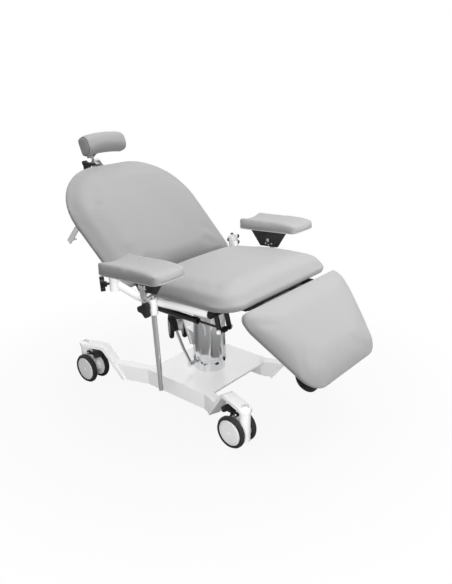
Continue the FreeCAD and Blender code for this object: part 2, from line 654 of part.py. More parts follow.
def make_seat_frame():
    low = "-frame_top - frame_depth"
    side = box("side_member", ("frame_front + frame_rear", "side_width", "frame_depth"),
               ("-frame_rear", "-side_spacing / 2 - side_width / 2", low))
    ties = [rod(f"{end}_tie", "tie_radius", "(rail_spacing - side_spacing) / 2 - rail_radius - seat_gap",
                (where, "seat_gap + rail_radius - rail_spacing / 2", "-rail_drop"), "y")
            for end, where in (("front", "tie_front"), ("rear", "tie_rear"))]
    right = fuse("seat_frame_right", side, *ties, *back_lug("back_lug"), *leg_lug("leg_lug"))
    rear = box("rear_member", ("cross_member", "back_lug * 2 + lug_thick * 2", "frame_depth * 3 / 4"),
               ("-frame_rear", "-back_lug - lug_thick", low))
    front = box("front_member", ("cross_member", "leg_lug * 2 + lug_thick * 3", "frame_depth * 3 / 4"),
                ("frame_front - cross_member", "-leg_lug - lug_thick * 3 / 2",
                 "-frame_top - frame_depth * 3 / 4"))
    gas_post = box("gas_post", ("gas_eye * 2", "lug_thick", "leg_gas_anchor_drop - frame_top"),
                   ("leg_gas_anchor - gas_eye", "side_spacing / 2 + side_width / 2 - lug_thick",
                    "-leg_gas_anchor_drop - gas_eye"))
    gas_pin = rod("leg_gas_pin", "gas_pin", "leg_gas_out + gas_eye_wide / 2 - side_spacing / 2",
                  ("leg_gas_anchor", "side_spacing / 2", "-leg_gas_anchor_drop"), "y")
    left = mirrored("seat_frame_left", right)
    solid = fuse("seat_frame_solid", right, left, rear, front, gas_post, gas_pin)
    back_hole = rod("back_pivot_hole", "pivot_radius + fit_gap", "back_lug * 4",
                    ("-pivot_back", "-back_lug * 2", "-pivot_drop"), "y")
    leg_hole = rod("leg_pivot_hole", "leg_pivot_radius + fit_gap", "leg_lug * 4",
                   ("leg_pivot_front", "-leg_lug * 2", "-leg_pivot_drop"), "y")
    keep("seat_frame", cut("seat_frame", solid, back_hole, leg_hole), MODULE)


# Side rails with post clamp and accessory socket
CLAMP_Y = "clamp_overlap - rail_spacing / 2 - rail_radius - clamp_radius"


def clamp_y():
    return -size("rail_spacing") / 2 - size("rail_radius") - size("clamp_radius") + size("clamp_overlap")


def socket_point():
    """The middle of the accessory socket, just beyond the rail's rear end."""
    return V(-size("rail_end_back") - size("socket_overlap"),
             -size("rail_spacing") / 2 - size("rail_end_out"), size("rail_end_rise") - size("rail_drop"))


def socket_body(name, radius="socket_radius"):
    """The outer cylinder of the accessory socket, or the room for it in the rail's end."""
    return rod(name, radius, "socket_tall",
               (*socket_point()[:2], "rail_end_rise - rail_drop - socket_tall / 2"))


def screw_room(name, start, away, reach):
    """The hole for a knob's screw, open into the bore that the screw pinches."""
    back = size("post_radius")
    return feature(name, Part.makeCylinder(size("knob_shaft") + size("fit_gap"), reach + back,
                                           start - away * back, away))


def make_rails():
    half, drop = -size("rail_spacing") / 2, -size("rail_drop")
    end = V(-size("rail_end_back"), half - size("rail_end_out"), drop + size("rail_end_rise"))
    route = [V(size("rail_front"), half, drop), V(-size("rail_kink"), half, drop), end]
    tube = feature("rail_tube", pipe(route, size("rail_bend"), size("rail_radius")))
    clamp = rod("post_clamp", "clamp_radius", "clamp_tall", ("clamp_forward", CLAMP_Y, "-clamp_low"))
    clamp_hole = rod("post_hole", "post_radius + fit_gap", "clamp_tall * 3",
                     ("clamp_forward", CLAMP_Y, "-clamp_low - clamp_tall"))
    right = cut("rail_right", fuse("rail_with_clamp", tube, clamp), clamp_hole,
                screw_room("clamp_screw_hole", *clamp_screw()),
                socket_body("rail_socket_room", "socket_radius + seat_gap"))
    left = mirrored("rail_left", right)
    keep("rail_right", right, MODULE)
    keep("rail_left", left)
    socket_hole = rod("pole_hole", "socket_bore", "socket_tall * 3",
                      (*socket_point()[:2], "rail_end_rise - rail_drop - socket_tall * 3 / 2"))
    socket = cut("pole_socket", socket_body("pole_socket_body"), socket_hole,
                 screw_room("socket_screw_hole", *socket_screw()))
    keep("pole_sockets", group("pole_sockets", socket, mirrored("pole_socket_left", socket)), MODULE)
    lip = "rail_radius + end_cap_lip"
    caps = [rod(f"rail_cap_{index}", lip, "end_cap_thick",
                ("rail_front", f"{side} * rail_spacing / 2", "-rail_drop"), "x")
            for index, side in enumerate((-1, 1))]
    keep("rail_caps", group("rail_caps", *caps), MODULE)


def clamp_screw():
    """Start, direction and length of the screw that pinches the armrest post."""
    start = V(size("clamp_forward"), clamp_y() - size("post_radius") - size("seat_gap"),
              size("clamp_tall") / 2 - size("clamp_low"))
    reach = size("clamp_radius") - size("post_radius") + size("knob_reach")
    return start, V(0, -1, 0), reach


def socket_screw():
    """Start, direction and length of the screw that pinches an accessory pole."""
    angle = math.radians(size("socket_knob_angle"))
    away = V(-math.cos(angle), -math.sin(angle), 0)
    start = socket_point() + away * (size("socket_bore") + size("seat_gap"))
    return start, away, size("socket_radius") - size("socket_bore") + size("knob_reach")


def star_knob(name, count, outer, valley, start, away, reach):
    """A star knob on its screw: the screw runs from a start point, the head sits at its far end."""
    head = padded(name + "_head", "XY_Plane", reach, lobes(count, outer, valley), "knob_thick")
    screw = rod(name + "_screw", "knob_shaft", reach, (0, 0, 0))
    hub = rod(name + "_hub", "knob_hub", "knob_reach / 2", (0, 0, reach - size("knob_reach") / 2))
    knob = fuse(name, head, screw, hub)
    side = away.cross(Z_AXIS).normalize()
    knob.Placement = frame(start, side, away.cross(side))
    return knob


def make_frame_knobs():
    outer, valley = size("knob_radius"), size("knob_valley")
    for kind, count, screw in (("clamp", 3, clamp_screw()), ("socket", 5, socket_screw())):
        right = star_knob(f"{kind}_knob_right", count, outer, valley, *screw)
        left = mirrored(f"{kind}_knob_left", right)
        keep(f"{kind}_knob_right", right, MODULE)
        keep(f"{kind}_knob_left", left)


# Cushions: a widest line near the back, drawn in sides and a crowned front
def pillow(name, sections, crown, top):
    """A loft through outlines at rising levels, crowned by a large ball whose crest is at the top."""
    body = lofted(name + "_block", "XY_Plane", sections)
    ball = doc.addObject("Part::Sphere", name + "_ball")
    bind(ball, "Radius", crown)
    ball.Placement.Base = V(pillow_middle(sections), 0, top - size(crown))
    return common(name, body, ball)


def pillow_middle(sections):
    """The middle of the lowest outline along its length."""
    box_of_edges = Part.Wire(Part.__sortEdges__([curve.toShape() for curve in sections[0][1]])).BoundBox
    return box_of_edges.Center.x


# Inset and level of a cushion's outlines as parts of its thickness, from its back to its crest
FIRM = [(0.14, 0), (0, 0.26), (0.16, 0.68), (0.52, 1.02)]
SOFT = [(0.14, 0), (0, 0.28), (0.18, 0.50), (0.42, 0.72), (0.90, 1.02)]


def levels(bottom, top, profile):
    """Inset and level of each outline of a cushion."""
    tall = top - bottom
    return [(tall * inset, bottom + tall * level) for inset, level in profile]


def seat_outline(inset):
    front, rear = size("seat_front") - inset, -size("seat_rear") + inset
    half = -clamp_y() - size("post_radius") - size("seat_post_room") - inset
    front_half = half + size("seat_flare")
    front_corner, rear_corner = size("seat_front_corner") - inset, size("seat_rear_corner") - inset / 2
    return rounded([(rear, -half), (front, -front_half), (front, front_half), (rear, half)],
                   [rear_corner, front_corner, front_corner, rear_corner])


def make_seat_cushion():
    bottom, top = -size("seat_bottom"), size("seat_top")
    sections = [(level, seat_outline(inset)) for inset, level in levels(bottom, top, FIRM)]
    block = pillow("seat_block", sections, "seat_crown", top)
    sweep = rod("back_sweep", "back_face + back_thick + sweep_gap", "rail_spacing * 2",
                ("-pivot_back", "-rail_spacing", "-pivot_drop"), "y")
    keep("seat_cushion", cut("seat_cushion", block, sweep), MODULE)


def back_outline(inset):
    start, end = size("back_start") + inset * 0.45, size("back_start") + size("back_length") - inset
    half, foot = size("back_half") - inset, size("back_foot_half") - inset
    shoulder = size("back_taper_end")
    top, low = size("back_top_corner") - inset, size("back_foot_corner") - inset / 3
    slack = (shoulder - start) / 4
    return rounded([(start, -foot), (shoulder, -half), (end, -half), (end, half), (shoulder, half),
                    (start, foot)], [low, slack, top, top, slack, low])


def make_backrest_cushion():
    bottom = size("back_face") + size("seat_gap")
    top = bottom + size("back_thick")
    sections = [(level, back_outline(inset)) for inset, level in levels(bottom, top, SOFT)]
    keep("backrest_cushion", pillow("backrest_cushion", sections, "back_crown", top), BACK)


def leg_outline(inset):
    start, end = size("leg_start") + inset, size("leg_start") + size("leg_length") - inset
    half, foot = size("leg_half") - inset, size("leg_foot_half") - inset
    top, low = size("leg_top_corner") - inset * 0.8, size("leg_foot_corner") - inset
    shoulder = start + size("leg_shoulder")
    return rounded([(start, -half), (shoulder, -half), (end, -foot), (end, foot), (shoulder, half),
                    (start, half)], [top * 0.55, top * 0.8, low, low, top * 0.8, top * 0.55])


def make_legrest_cushion():
    bottom = size("leg_face") + size("seat_gap")
    top = bottom + size("leg_thick")
    sections = [(level, leg_outline(inset)) for inset, level in levels(bottom, top, SOFT)]
    keep("legrest_cushion", pillow("legrest_cushion", sections, "leg_crown", top), LEG)


# Backrest frame, paper roll holder and headrest, with X up the backrest and Z to its front
def module_to_back(x, z):
    """A point of the seat module's side view in the backrest's own frame."""
    point = BACK.inverse().multVec(MODULE.multVec(V(x, 0, z)))
    return point.x, point.z


def back_gas_pin():
    """The lever pin of the backrest in the module's side view."""
    return (-size("pivot_back") + size("back_gas_pin_ahead"),
            -size("pivot_drop") - size("back_gas_pin_below"))


def make_backrest_frame():
    bars = [box(f"back_bar_{index}", ("back_bar_length + back_bar_foot", "back_bar", "back_bar"),
                ("-back_bar_foot", f"{side} * back_bar_spacing / 2 - back_bar / 2", "back_face - back_bar"))
            for index, side in enumerate((-1, 1))]
    top = box("back_top_bar", ("back_bar", "back_bar_spacing", "back_bar"),
              ("back_bar_length - back_bar", "-back_bar_spacing / 2", "back_face - back_bar"))
    roll_bar = box("back_roll_bar", ("back_bar", "roll_bar_half * 2", "back_bar"),
                   ("roll_bar_at - back_bar / 2", "-roll_bar_half", "back_face - back_bar"))
    shaft = rod("back_shaft", "pivot_radius", "back_gas_out + back_lug",
                ("0", "-back_lug - lug_thick", "0"), "y")
    pin = module_to_back(*back_gas_pin())
    plate_y = size("back_gas_out") - size("gas_radius") - size("side_gap") - size("lug_thick")
    lever = padded("back_lever", "XZ_Plane", -plate_y - size("lug_thick"),
                   link((0, 0), pin, size("gas_lever_half")), "lug_thick")
    lever_pin = rod("back_lever_pin", "gas_pin", "gas_eye_wide / 2 + gas_radius + lug_thick + 2 * side_gap",
                    (pin[0], "back_gas_out - gas_radius - lug_thick - side_gap", pin[1]), "y")
    keep("backrest_frame", fuse("backrest_frame", *bars, top, roll_bar, shaft, lever, lever_pin), BACK)


def make_roll_holder():
    """Two arms behind the backrest whose inward pins carry a paper roll."""
    arm = box("roll_arm", ("roll_arm_width", "roll_arm_thick", "roll_arm_reach + back_face"),
              ("roll_bar_at - roll_arm_width / 2", "-roll_bar_half - roll_arm_thick", "-roll_arm_reach"))
    pin = rod("roll_pin", "roll_pin_radius", "roll_pin_length",
              ("roll_bar_at", "-roll_bar_half", "roll_arm_width / 2 - roll_arm_reach"), "y")
    right = fuse("roll_arm_right", arm, pin)
    keep("roll_holder", group("roll_holder", right, mirrored("roll_arm_left", right)), BACK)


def make_headrest():
    strap = box("clamp_strap", ("clamp_block_at - back_bar_length + back_bar", "clamp_block_wide",
                                "clamp_strap"),
                ("back_bar_length - back_bar", "-clamp_block_wide / 2", "back_face - back_bar - clamp_strap"))
    block = box("clamp_block", ("clamp_block_long", "clamp_block_wide", "clamp_block_deep"),
                ("clamp_block_at", "-clamp_block_wide / 2", "-stem_depth - clamp_block_deep / 2"))
    hole = rod("stem_hole", "stem_radius + fit_gap", "clamp_block_at * 2", ("0", "0", "-stem_depth"), "x")
    start = V(size("clamp_block_at") + size("clamp_block_long") / 2,
              size("stem_radius") + size("seat_gap"), -size("stem_depth"))
    reach = size("clamp_block_wide") / 2 - size("stem_radius") + size("headrest_knob_reach")
    screw_hole = feature("headrest_screw_hole", Part.makeCylinder(size("knob_shaft") + size("fit_gap"), reach,
                                                                  start, Y_AXIS))
    keep("headrest_clamp", cut("headrest_clamp", fuse("clamp_solid", strap, block), hole, screw_hole), BACK)
    knob = star_knob("headrest_knob", 3, size("headrest_knob_radius"), size("headrest_knob_valley"),
                     start, Y_AXIS, reach)
    keep("headrest_knob", knob, BACK)
    stem = rod("stem_bar", "stem_radius", "stem_top - stem_foot", ("stem_foot", "0", "-stem_depth"), "x")
    eye = rod("stem_eye", "head_eye", "head_lug_gap - 2 * side_gap",
              ("stem_top", "side_gap - head_lug_gap / 2", "-stem_depth"), "y")
    eye_hole = rod("stem_eye_hole", "head_pin + fit_gap", "head_lug_gap", ("stem_top", "-head_lug_gap / 2",
                                                                          "-stem_depth"), "y")
    keep("headrest_stem", cut("headrest_stem", fuse("stem_solid", stem, eye), eye_hole), BACK)


def head_frame():
    """The headrest pad's own frame: X up along its height, Z to its front."""
    return BACK.multiply(Placement(V(size("head_centre"), 0, size("head_offset")),
                                   Rotation(Y_AXIS, -size("head_angle"))))


def head_outline(inset):
    """A half bolster's end: flat at the back, one round sweep over the front."""
    half, deep = size("head_tall") / 2 - inset, size("head_deep") / 2 - inset
    back, front = deep * 0.5, deep * 0.95
    return rounded([(-half, deep), (half, deep), (half, -deep), (-half, -deep)], [back, back, front, front])


def make_headrest_pad():
    half = size("head_width_full") / 2
    draw = half * 0.07
    sections = [(-half, head_outline(draw)), (-half + draw, head_outline(0)), (half - draw, head_outline(0)),
                (half, head_outline(draw))]
    pad = lofted("headrest_pad", "XY_Plane", sections, straight=True)
    # the loft runs along its own Z, which lies across the chair, and its Y points to the pad's back
    pad.Placement = Placement(V(), Rotation(X_AXIS, -90))
    keep("headrest_pad", pad, head_frame())
    pivot = head_frame().inverse().multVec(BACK.multVec(V(size("stem_top"), 0, -size("stem_depth"))))
    lug = padded("head_lug", "XZ_Plane", size("head_lug_gap") / 2,
                 link((pivot.x, pivot.z), (-size("head_tall") / 8, -size("head_deep") / 2 - size("head_eye")),
                      size("head_eye")), "head_lug_thick")
    plate = box("head_plate_back", ("head_tall * 0.6", "head_width_full * 0.5", "head_lug_thick"),
                ("-head_tall * 0.3", "-head_width_full * 0.25", "-head_deep / 2 - head_lug_thick"))
    pin = rod("head_pin_bar", "head_pin", "head_lug_gap + head_lug_thick * 2",
              (pivot.x, "-head_lug_gap / 2 - head_lug_thick", pivot.z), "y")
    bracket = fuse("headrest_bracket", lug, mirrored("head_lug_left", lug), plate, pin)
    keep("headrest_bracket", bracket, head_frame())


# Legrest frame and bumpers, with X down the legrest and Z to its front
def leg_gas_pin():
    """The lever pin of the legrest in the module's side view."""
    return (size("leg_pivot_front") - size("leg_gas_pin_back"),
            -size("leg_pivot_drop") - size("leg_gas_pin_below"))


def make_legrest_frame():
    bars = [box(f"leg_bar_{index}", ("leg_bar_length", "leg_bar", "leg_bar"),
                ("0", f"{side} * leg_bar_spacing / 2 - leg_bar / 2", "leg_face - leg_bar"))
            for index, side in enumerate((-1, 1))]
    foot = box("leg_foot_bar", ("leg_bar", "foot_bar_half * 2", "leg_bar"),
               ("leg_bar_length - leg_bar", "-foot_bar_half", "leg_face - leg_bar"))
    tube = rod("leg_tube", "leg_pivot_radius", "leg_lug * 2 + lug_thick * 2",
               ("0", "-leg_lug - lug_thick", "0"), "y")
    module_pin = leg_gas_pin()
    point = LEG.inverse().multVec(MODULE.multVec(V(module_pin[0], 0, module_pin[1])))
    plate_y = size("leg_gas_out") + size("gas_eye_wide") / 2 + size("side_gap")
    lever = padded("leg_lever", "XZ_Plane", -plate_y - size("lug_thick"),
                   link((0, 0), (point.x, point.z), size("gas_lever_half")), "lug_thick")
    pin = rod("leg_lever_pin", "gas_pin", "gas_eye_wide + lug_thick + side_gap",
              (point.x, "leg_gas_out - gas_eye_wide / 2", point.z), "y")
    keep("legrest_frame", fuse("legrest_frame", *bars, foot, tube, lever, pin), LEG)
    radius, thick = size("bumper_radius"), size("bumper_thick")
    disc = revolved("bumper", [(0, 0), (radius - thick / 3, 0), (radius, thick / 3), (radius, thick * 2 / 3),
                               (radius - thick / 3, thick), (0, thick)])
    doc.recompute()
    low = size("leg_face") - size("leg_bar") - thick
    discs = [moved(f"bumper_{index}", disc, Placement(V(size("bumper_at"), side * size("bumper_half"), low),
                                                      Rotation())) for index, side in enumerate((-1, 1))]
    keep("legrest_bumpers", group("legrest_bumpers", *discs), LEG)


# Gas springs: the rod floats in the tube with room for the levers' arcs
def gas_spring(name, rear, front, out, tube_long, rod_start, tube_node, rod_node):
    """A tube from the rear pin and a rod from the front pin, in the module's side view."""
    rear, front = V(rear[0], out, rear[1]), V(front[0], out, front[1])
    span = (front - rear).Length
    along = (front - rear).normalize()
    place = MODULE.multiply(frame(rear, along, Y_AXIS))
    wide = ("-gas_eye_wide / 2 + side_gap", "gas_eye_wide - 2 * side_gap")
    eye = rod(name + "_eye", "gas_eye", wide[1], ("0", wide[0], "0"), "y")
    shell = rod(name + "_shell", "gas_radius", tube_long, ("0", "0", "0"), "x")
    collar = rod(name + "_collar", "gas_collar", "gas_collar_long",
                 (f"{tube_long} - gas_collar_long", "0", "0"), "x")
    bore = rod(name + "_bore", "gas_bore", tube_long, ("gas_end", "0", "0"), "x")
    hole = rod(name + "_hole", "gas_pin + fit_gap", "gas_eye_wide * 2", ("0", "-gas_eye_wide", "0"), "y")
    keep(tube_node, cut(name + "_tube", fuse(name + "_tube_solid", eye, shell, collar), bore, hole), place)
    front_eye = rod(name + "_front_eye", "gas_eye", wide[1], (span, wide[0], "0"), "y")
    bar = rod(name + "_bar", "gas_rod", span - size(rod_start), (rod_start, "0", "0"), "x")
    front_hole = rod(name + "_front_hole", "gas_pin + fit_gap", "gas_eye_wide * 2",
                     (span, "-gas_eye_wide", "0"), "y")
    keep(rod_node, cut(name + "_rod", fuse(name + "_rod_solid", front_eye, bar), front_hole), place)


def make_gas_springs():
    gas_spring("back_gas", back_gas_pin(), (size("fork_pin_front"), -size("fork_pin_drop")),
               -size("back_gas_out"), "back_gas_tube", "back_gas_rod_start", "gas_cylinder", "gas_rod")
    gas_spring("leg_gas", (size("leg_gas_anchor"), -size("leg_gas_anchor_drop")), leg_gas_pin(),
               size("leg_gas_out"), "leg_gas_tube", "leg_gas_rod_start", "leg_gas_cylinder", "leg_gas_rod")


def make_fork_bracket():
    """Two links under the right rail's front end that hold the backrest gas spring's rod."""
    bar_point = (size("fork_bar_front"), -size("fork_bar_drop"))
    pin_point = (size("fork_pin_front"), -size("fork_pin_drop"))
    plates = [padded(f"fork_link_{index}", "XZ_Plane",
                     size("back_gas_out") + side * size("fork_spread") / 2 - size("fork_thick") / 2,
                     link(bar_point, pin_point, size("fork_half")), "fork_thick")
              for index, side in enumerate((-1, 1))]
    bar = rod("fork_bar_round", "fork_bar",
              "(rail_spacing - side_spacing - side_width) / 2 - rail_radius - seat_gap",
              ("fork_bar_front", "rail_radius + seat_gap - rail_spacing / 2", "-fork_bar_drop"), "y")
    pin = rod("fork_pin", "gas_pin", "fork_spread + fork_thick * 3",
              ("fork_pin_front", "-back_gas_out - fork_spread / 2 - fork_thick * 3 / 2", "-fork_pin_drop"),
              "y")
    keep("gas_fork", fuse("gas_fork", *plates, bar, pin), MODULE)


# Armrests: post, clevis, bracket and dished pad
def pad_section(forward):
    """A section across the pad: flat below, bulging sides and a dished top that falls to the front."""
    half, length = size("pad_width") / 2, size("pad_length")
    ahead = max(0, forward / (length / 2))
    tall = size("pad_thick") - size("pad_front_drop") * ahead ** 2
    dish, bulge = size("pad_dish") * (1 - ahead * 0.6), size("pad_side_bulge")
    return [Part.LineSegment(V(-half, 0, 0), V(half, 0, 0)),
            Part.Arc(V(half, 0, 0), V(half + bulge, tall / 2, 0), V(half, tall, 0)),
            Part.Arc(V(half, tall, 0), V(0, tall - dish, 0), V(-half, tall, 0)),
            Part.Arc(V(-half, tall, 0), V(-half - bulge, tall / 2, 0), V(-half, 0, 0))]


def make_armrest():
    keep_pair("arm_post", rod("arm_post", "post_radius", "post_foot + post_top",
                              ("clamp_forward", CLAMP_Y, "-post_foot")))
    post, forward = (size("clamp_forward"), clamp_y()), size("bracket_forward")
    low, riser_y = size("post_top"), -size("riser_out")
    level = low + size("elbow_rise")
    route = [V(*post, low), V(*post, level), V(forward, riser_y, level),
             V(forward, riser_y, size("tilt_height"))]
    elbow = feature("arm_elbow", pipe(route, size("elbow_bend"), size("elbow_radius")))
    pivot = ("bracket_forward", "-riser_out", "tilt_height")
    boss = rod("tilt_boss", "clevis_radius", "riser_out - bracket_out - bracket_thick / 2 - side_gap", pivot,
               "y")
    pin = rod("tilt_pin_bar", "tilt_pin",
              "riser_out - bracket_out + bracket_thick / 2 + side_gap + pin_head_thick", pivot, "y")
    pin_head = rod("tilt_pin_head", "pin_head", "pin_head_thick",
                   ("bracket_forward", "bracket_thick / 2 + side_gap - bracket_out", "tilt_height"), "y")
    crown = doc.addObject("Part::Sphere", "clevis_crown")
    bind(crown, "Radius", "clevis_radius")
    locate(crown, pivot)
    keep_pair("arm_clevis", fuse("arm_clevis", elbow, boss, pin, pin_head, crown))
    foot, top = size("bracket_foot") / 2, size("bracket_top") / 2
    low, high = -size("bracket_low"), size("bracket_high")
    corner = size("bracket_thick")
    outline = rounded([(-foot, low), (foot, low), (top, high), (-top, high)], [corner] * 4)
    plate = padded("bracket_plate", "XZ_Plane", size("bracket_out") - size("bracket_thick") / 2, outline,
                   "bracket_thick")
    locate(plate, ("bracket_forward", 0, "tilt_height"))
    flange = box("bracket_flange", ("bracket_top", "flange_width", "flange_thick"),
                 ("bracket_forward - bracket_top / 2", "-arm_out - flange_width / 2",
                  "tilt_height + bracket_high"))
    hole = rod("tilt_hole", "tilt_pin + fit_gap", "riser_out", pivot, "y")
    keep_pair("arm_bracket", cut("arm_bracket", fuse("bracket_solid", plate, flange), hole))
    half = size("pad_length") / 2
    stations = (-half, -half / 3, half / 3, half)
    pad = lofted("arm_pad", "YZ_Plane", [(station, pad_section(station)) for station in stations])
    locate(pad, ("arm_forward", "-arm_out", "tilt_height + bracket_high + flange_thick"))
    keep_pair("arm_pad", pad)


def keep_pair(name, right):
    """Keep a right hand piece of the seat module and its mirror image."""
    placed = keep(name + "_right", right, MODULE)
    keep(name + "_left", mirrored(name + "_left", placed))


def build():
    make_base_plate()
    make_side_frames()
    make_caps()
    make_casters()
    make_column()
    make_hydraulics()
    make_pump_lever()
    make_lift_head()
    make_seat_frame()
    make_rails()
    make_frame_knobs()
    make_seat_cushion()
    make_backrest_frame()
    make_backrest_cushion()
    make_roll_holder()
    make_headrest()
    make_headrest_pad()
    make_legrest_frame()
    make_legrest_cushion()
    make_gas_springs()
    make_fork_bracket()
    make_armrest()
    doc.recompute()


def check():
    """Stop before anything is written if an object failed or a shape is not valid."""
    failed = [obj.Name for obj in doc.Objects if {"Invalid", "Error"} & set(obj.State)]
    if failed:
        raise RuntimeError("failed objects: " + ", ".join(failed))
    for label, obj in NODES.items():
        if obj.Shape.isNull() or not obj.Shape.isValid() or not obj.Shape.Solids:
            raise RuntimeError("bad shape: " + label)


def export():
    os.makedirs("parts", exist_ok=True)
    for label, obj in NODES.items():
        obj.Shape.exportStep(os.path.join("parts", label + ".step"))


build()
check()
export()
print(len(NODES), "nodes written")
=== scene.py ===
"""Hydraulic EEG chair: upholstery, finishes, fasteners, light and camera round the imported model."""

import math

import bmesh
import bpy
import numpy as np
from mathutils import Matrix, Vector


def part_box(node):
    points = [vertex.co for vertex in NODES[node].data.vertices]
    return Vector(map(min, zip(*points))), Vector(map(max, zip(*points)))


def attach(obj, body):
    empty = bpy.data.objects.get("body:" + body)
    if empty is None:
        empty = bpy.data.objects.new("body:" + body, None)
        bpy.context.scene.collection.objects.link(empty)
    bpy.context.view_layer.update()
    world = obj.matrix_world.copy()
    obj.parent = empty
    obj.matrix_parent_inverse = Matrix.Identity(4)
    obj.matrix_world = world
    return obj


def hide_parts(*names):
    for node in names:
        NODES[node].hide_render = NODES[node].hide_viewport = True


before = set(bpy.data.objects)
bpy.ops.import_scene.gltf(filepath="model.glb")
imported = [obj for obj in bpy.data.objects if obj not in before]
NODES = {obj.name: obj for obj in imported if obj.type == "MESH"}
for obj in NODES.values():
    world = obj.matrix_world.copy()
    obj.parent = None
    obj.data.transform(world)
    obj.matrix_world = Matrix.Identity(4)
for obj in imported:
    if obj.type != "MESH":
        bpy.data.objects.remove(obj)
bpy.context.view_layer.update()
SCENE = bpy.context.scene
MM = 0.001
HANDS = (("right", -1), ("left", 1))

# Frames of the seat module, the backrest, the legrest and the headrest, as in the part's source
SEAT_LEVEL, SEAT_TILT = 500 * MM, math.radians(4.5)
BACK_PIVOT, BACK_ANGLE = (-172 * MM, 0, -20 * MM), math.radians(46.5)
LEG_PIVOT, LEG_ANGLE = (379 * MM, 0, -20 * MM), math.radians(47.5)
HEAD_PIVOT, HEAD_ANGLE = (664 * MM, 0, 88 * MM), math.radians(33.0)
column_low, column_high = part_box("column")
COLUMN_X = (column_low.x + column_high.x) / 2


def axes_matrix(origin, x_axis, y_axis):
    """The matrix of a frame from its origin and two of its axes."""
    x_axis, y_axis = Vector(x_axis), Vector(y_axis)
    turned = Matrix((x_axis, y_axis, x_axis.cross(y_axis))).transposed().to_4x4()
    return Matrix.Translation(Vector(origin)) @ turned


def pitched(origin, angle):
    """The matrix of a frame that is moved and then turned about its Y axis."""
    return Matrix.Translation(origin) @ Matrix.Rotation(angle, 4, "Y")


MODULE = pitched((COLUMN_X, 0, SEAT_LEVEL), -SEAT_TILT)
BACK = MODULE @ axes_matrix(BACK_PIVOT, (-math.cos(BACK_ANGLE), 0, math.sin(BACK_ANGLE)), (0, -1, 0))
LEG = MODULE @ pitched(LEG_PIVOT, LEG_ANGLE)
HEAD = BACK @ pitched(HEAD_PIVOT, -HEAD_ANGLE)


# Materials: sizes and depths are in metres
class Paint:
    """A node material: a principled shader with helpers for procedural detail."""

    def __init__(self, name, colour, roughness, metallic=0.0):
        self.material = bpy.data.materials.new(name)
        self.material.use_nodes = True
        self.material.diffuse_color = (*colour, 1)
        self.tree = self.material.node_tree
        self.shader = self.tree.nodes["Principled BSDF"]
        self.colour = self.base = colour
        self.set("Base Color", (*colour, 1))
        self.set("Roughness", roughness)
        self.set("Metallic", metallic)
        self.place = self.node("ShaderNodeTexCoord").outputs["Object"]
        self.normal = None

    def node(self, kind, **values):
        made = self.tree.nodes.new(kind)
        for key, value in values.items():
            setattr(made, key, value)
        return made

    def set(self, socket, value):
        self.shader.inputs[socket].default_value = value

    def link(self, source, target):
        self.tree.links.new(source, target)

    def noise(self, size, detail=2.0, stretch=(1, 1, 1), rough=0.5):
        """A noise whose blobs are about one size, longer along a stretched axis."""
        mapping = self.node("ShaderNodeMapping")
        mapping.inputs["Scale"].default_value = [1 / factor for factor in stretch]
        texture = self.node("ShaderNodeTexNoise")
        texture.inputs["Scale"].default_value = 1 / size
        texture.inputs["Detail"].default_value = detail
        texture.inputs["Roughness"].default_value = rough
        self.link(self.place, mapping.inputs["Vector"])
        self.link(mapping.outputs["Vector"], texture.inputs["Vector"])
        return texture.outputs["Fac"]

    def cells(self, size):
        """A cell pattern: the distance to the nearest cell's middle."""
        texture = self.node("ShaderNodeTexVoronoi", feature="SMOOTH_F1")
        texture.inputs["Scale"].default_value = 1 / size
        texture.inputs["Smoothness"].default_value = 0.6
        self.link(self.place, texture.inputs["Vector"])
        return texture.outputs["Distance"]

    def span(self, source, low, high, start=0.3, end=0.7):
        """A factor spread from a low to a high number."""
        spread = self.node("ShaderNodeMapRange")
        limits = {"From Min": start, "From Max": end, "To Min": low, "To Max": high}
        for socket, value in limits.items():
            spread.inputs[socket].default_value = value
        self.link(source, spread.inputs["Value"])
        return spread.outputs["Result"]

    def blend(self, factor, first, second):
        """A mix of two colours, each a tuple or another node's output."""
        mix = self.node("ShaderNodeMix", data_type="RGBA", blend_type="MIX")
        self.link(factor, mix.inputs["Factor"])
        for socket, value in ((mix.inputs[6], first), (mix.inputs[7], second)):
            if isinstance(value, tuple):
                socket.default_value = (*value, 1)
            else:
                self.link(value, socket)
        return mix.outputs[2]

    def recolour(self, base):
        self.base = base
        self.link(base, self.shader.inputs["Base Color"])

    def tint(self, factor, darkest, lightest):
        """Vary the base colour between two shares of itself."""
        shades = [tuple(min(1.0, c * share) for c in self.colour) for share in (darkest, lightest)]
        self.recolour(self.blend(factor, *shades))

    def rough(self, factor, low, high):
        self.link(self.span(factor, low, high), self.shader.inputs["Roughness"])

    def shape(self, normal):
        self.normal = normal
        self.link(normal, self.shader.inputs["Normal"])

    def soften(self, radius):
        """Round every edge by a small radius in the shading."""
        bevel = self.node("ShaderNodeBevel", samples=4)
        bevel.inputs["Radius"].default_value = radius
        self.shape(bevel.outputs["Normal"])

    def wear(self, colour, amount):
        """Show another colour along the softened edges, where hands and cloths rub."""
        geometry = self.node("ShaderNodeNewGeometry")
        dot = self.node("ShaderNodeVectorMath", operation="DOT_PRODUCT")
        self.link(self.normal, dot.inputs[0])
        self.link(geometry.outputs["Normal"], dot.inputs[1])
        edge = self.span(dot.outputs["Value"], amount, 0.0, start=0.86, end=0.99)
        self.recolour(self.blend(edge, self.base, colour))

    def bump(self, height, depth, strength):
        """Add a bump whose full height is a depth."""
        bump = self.node("ShaderNodeBump")
        bump.inputs["Strength"].default_value = strength
        bump.inputs["Distance"].default_value = depth
        self.link(height, bump.inputs["Height"])
        if self.normal is not None:
            self.link(self.normal, bump.inputs["Normal"])
        self.shape(bump.outputs["Normal"])


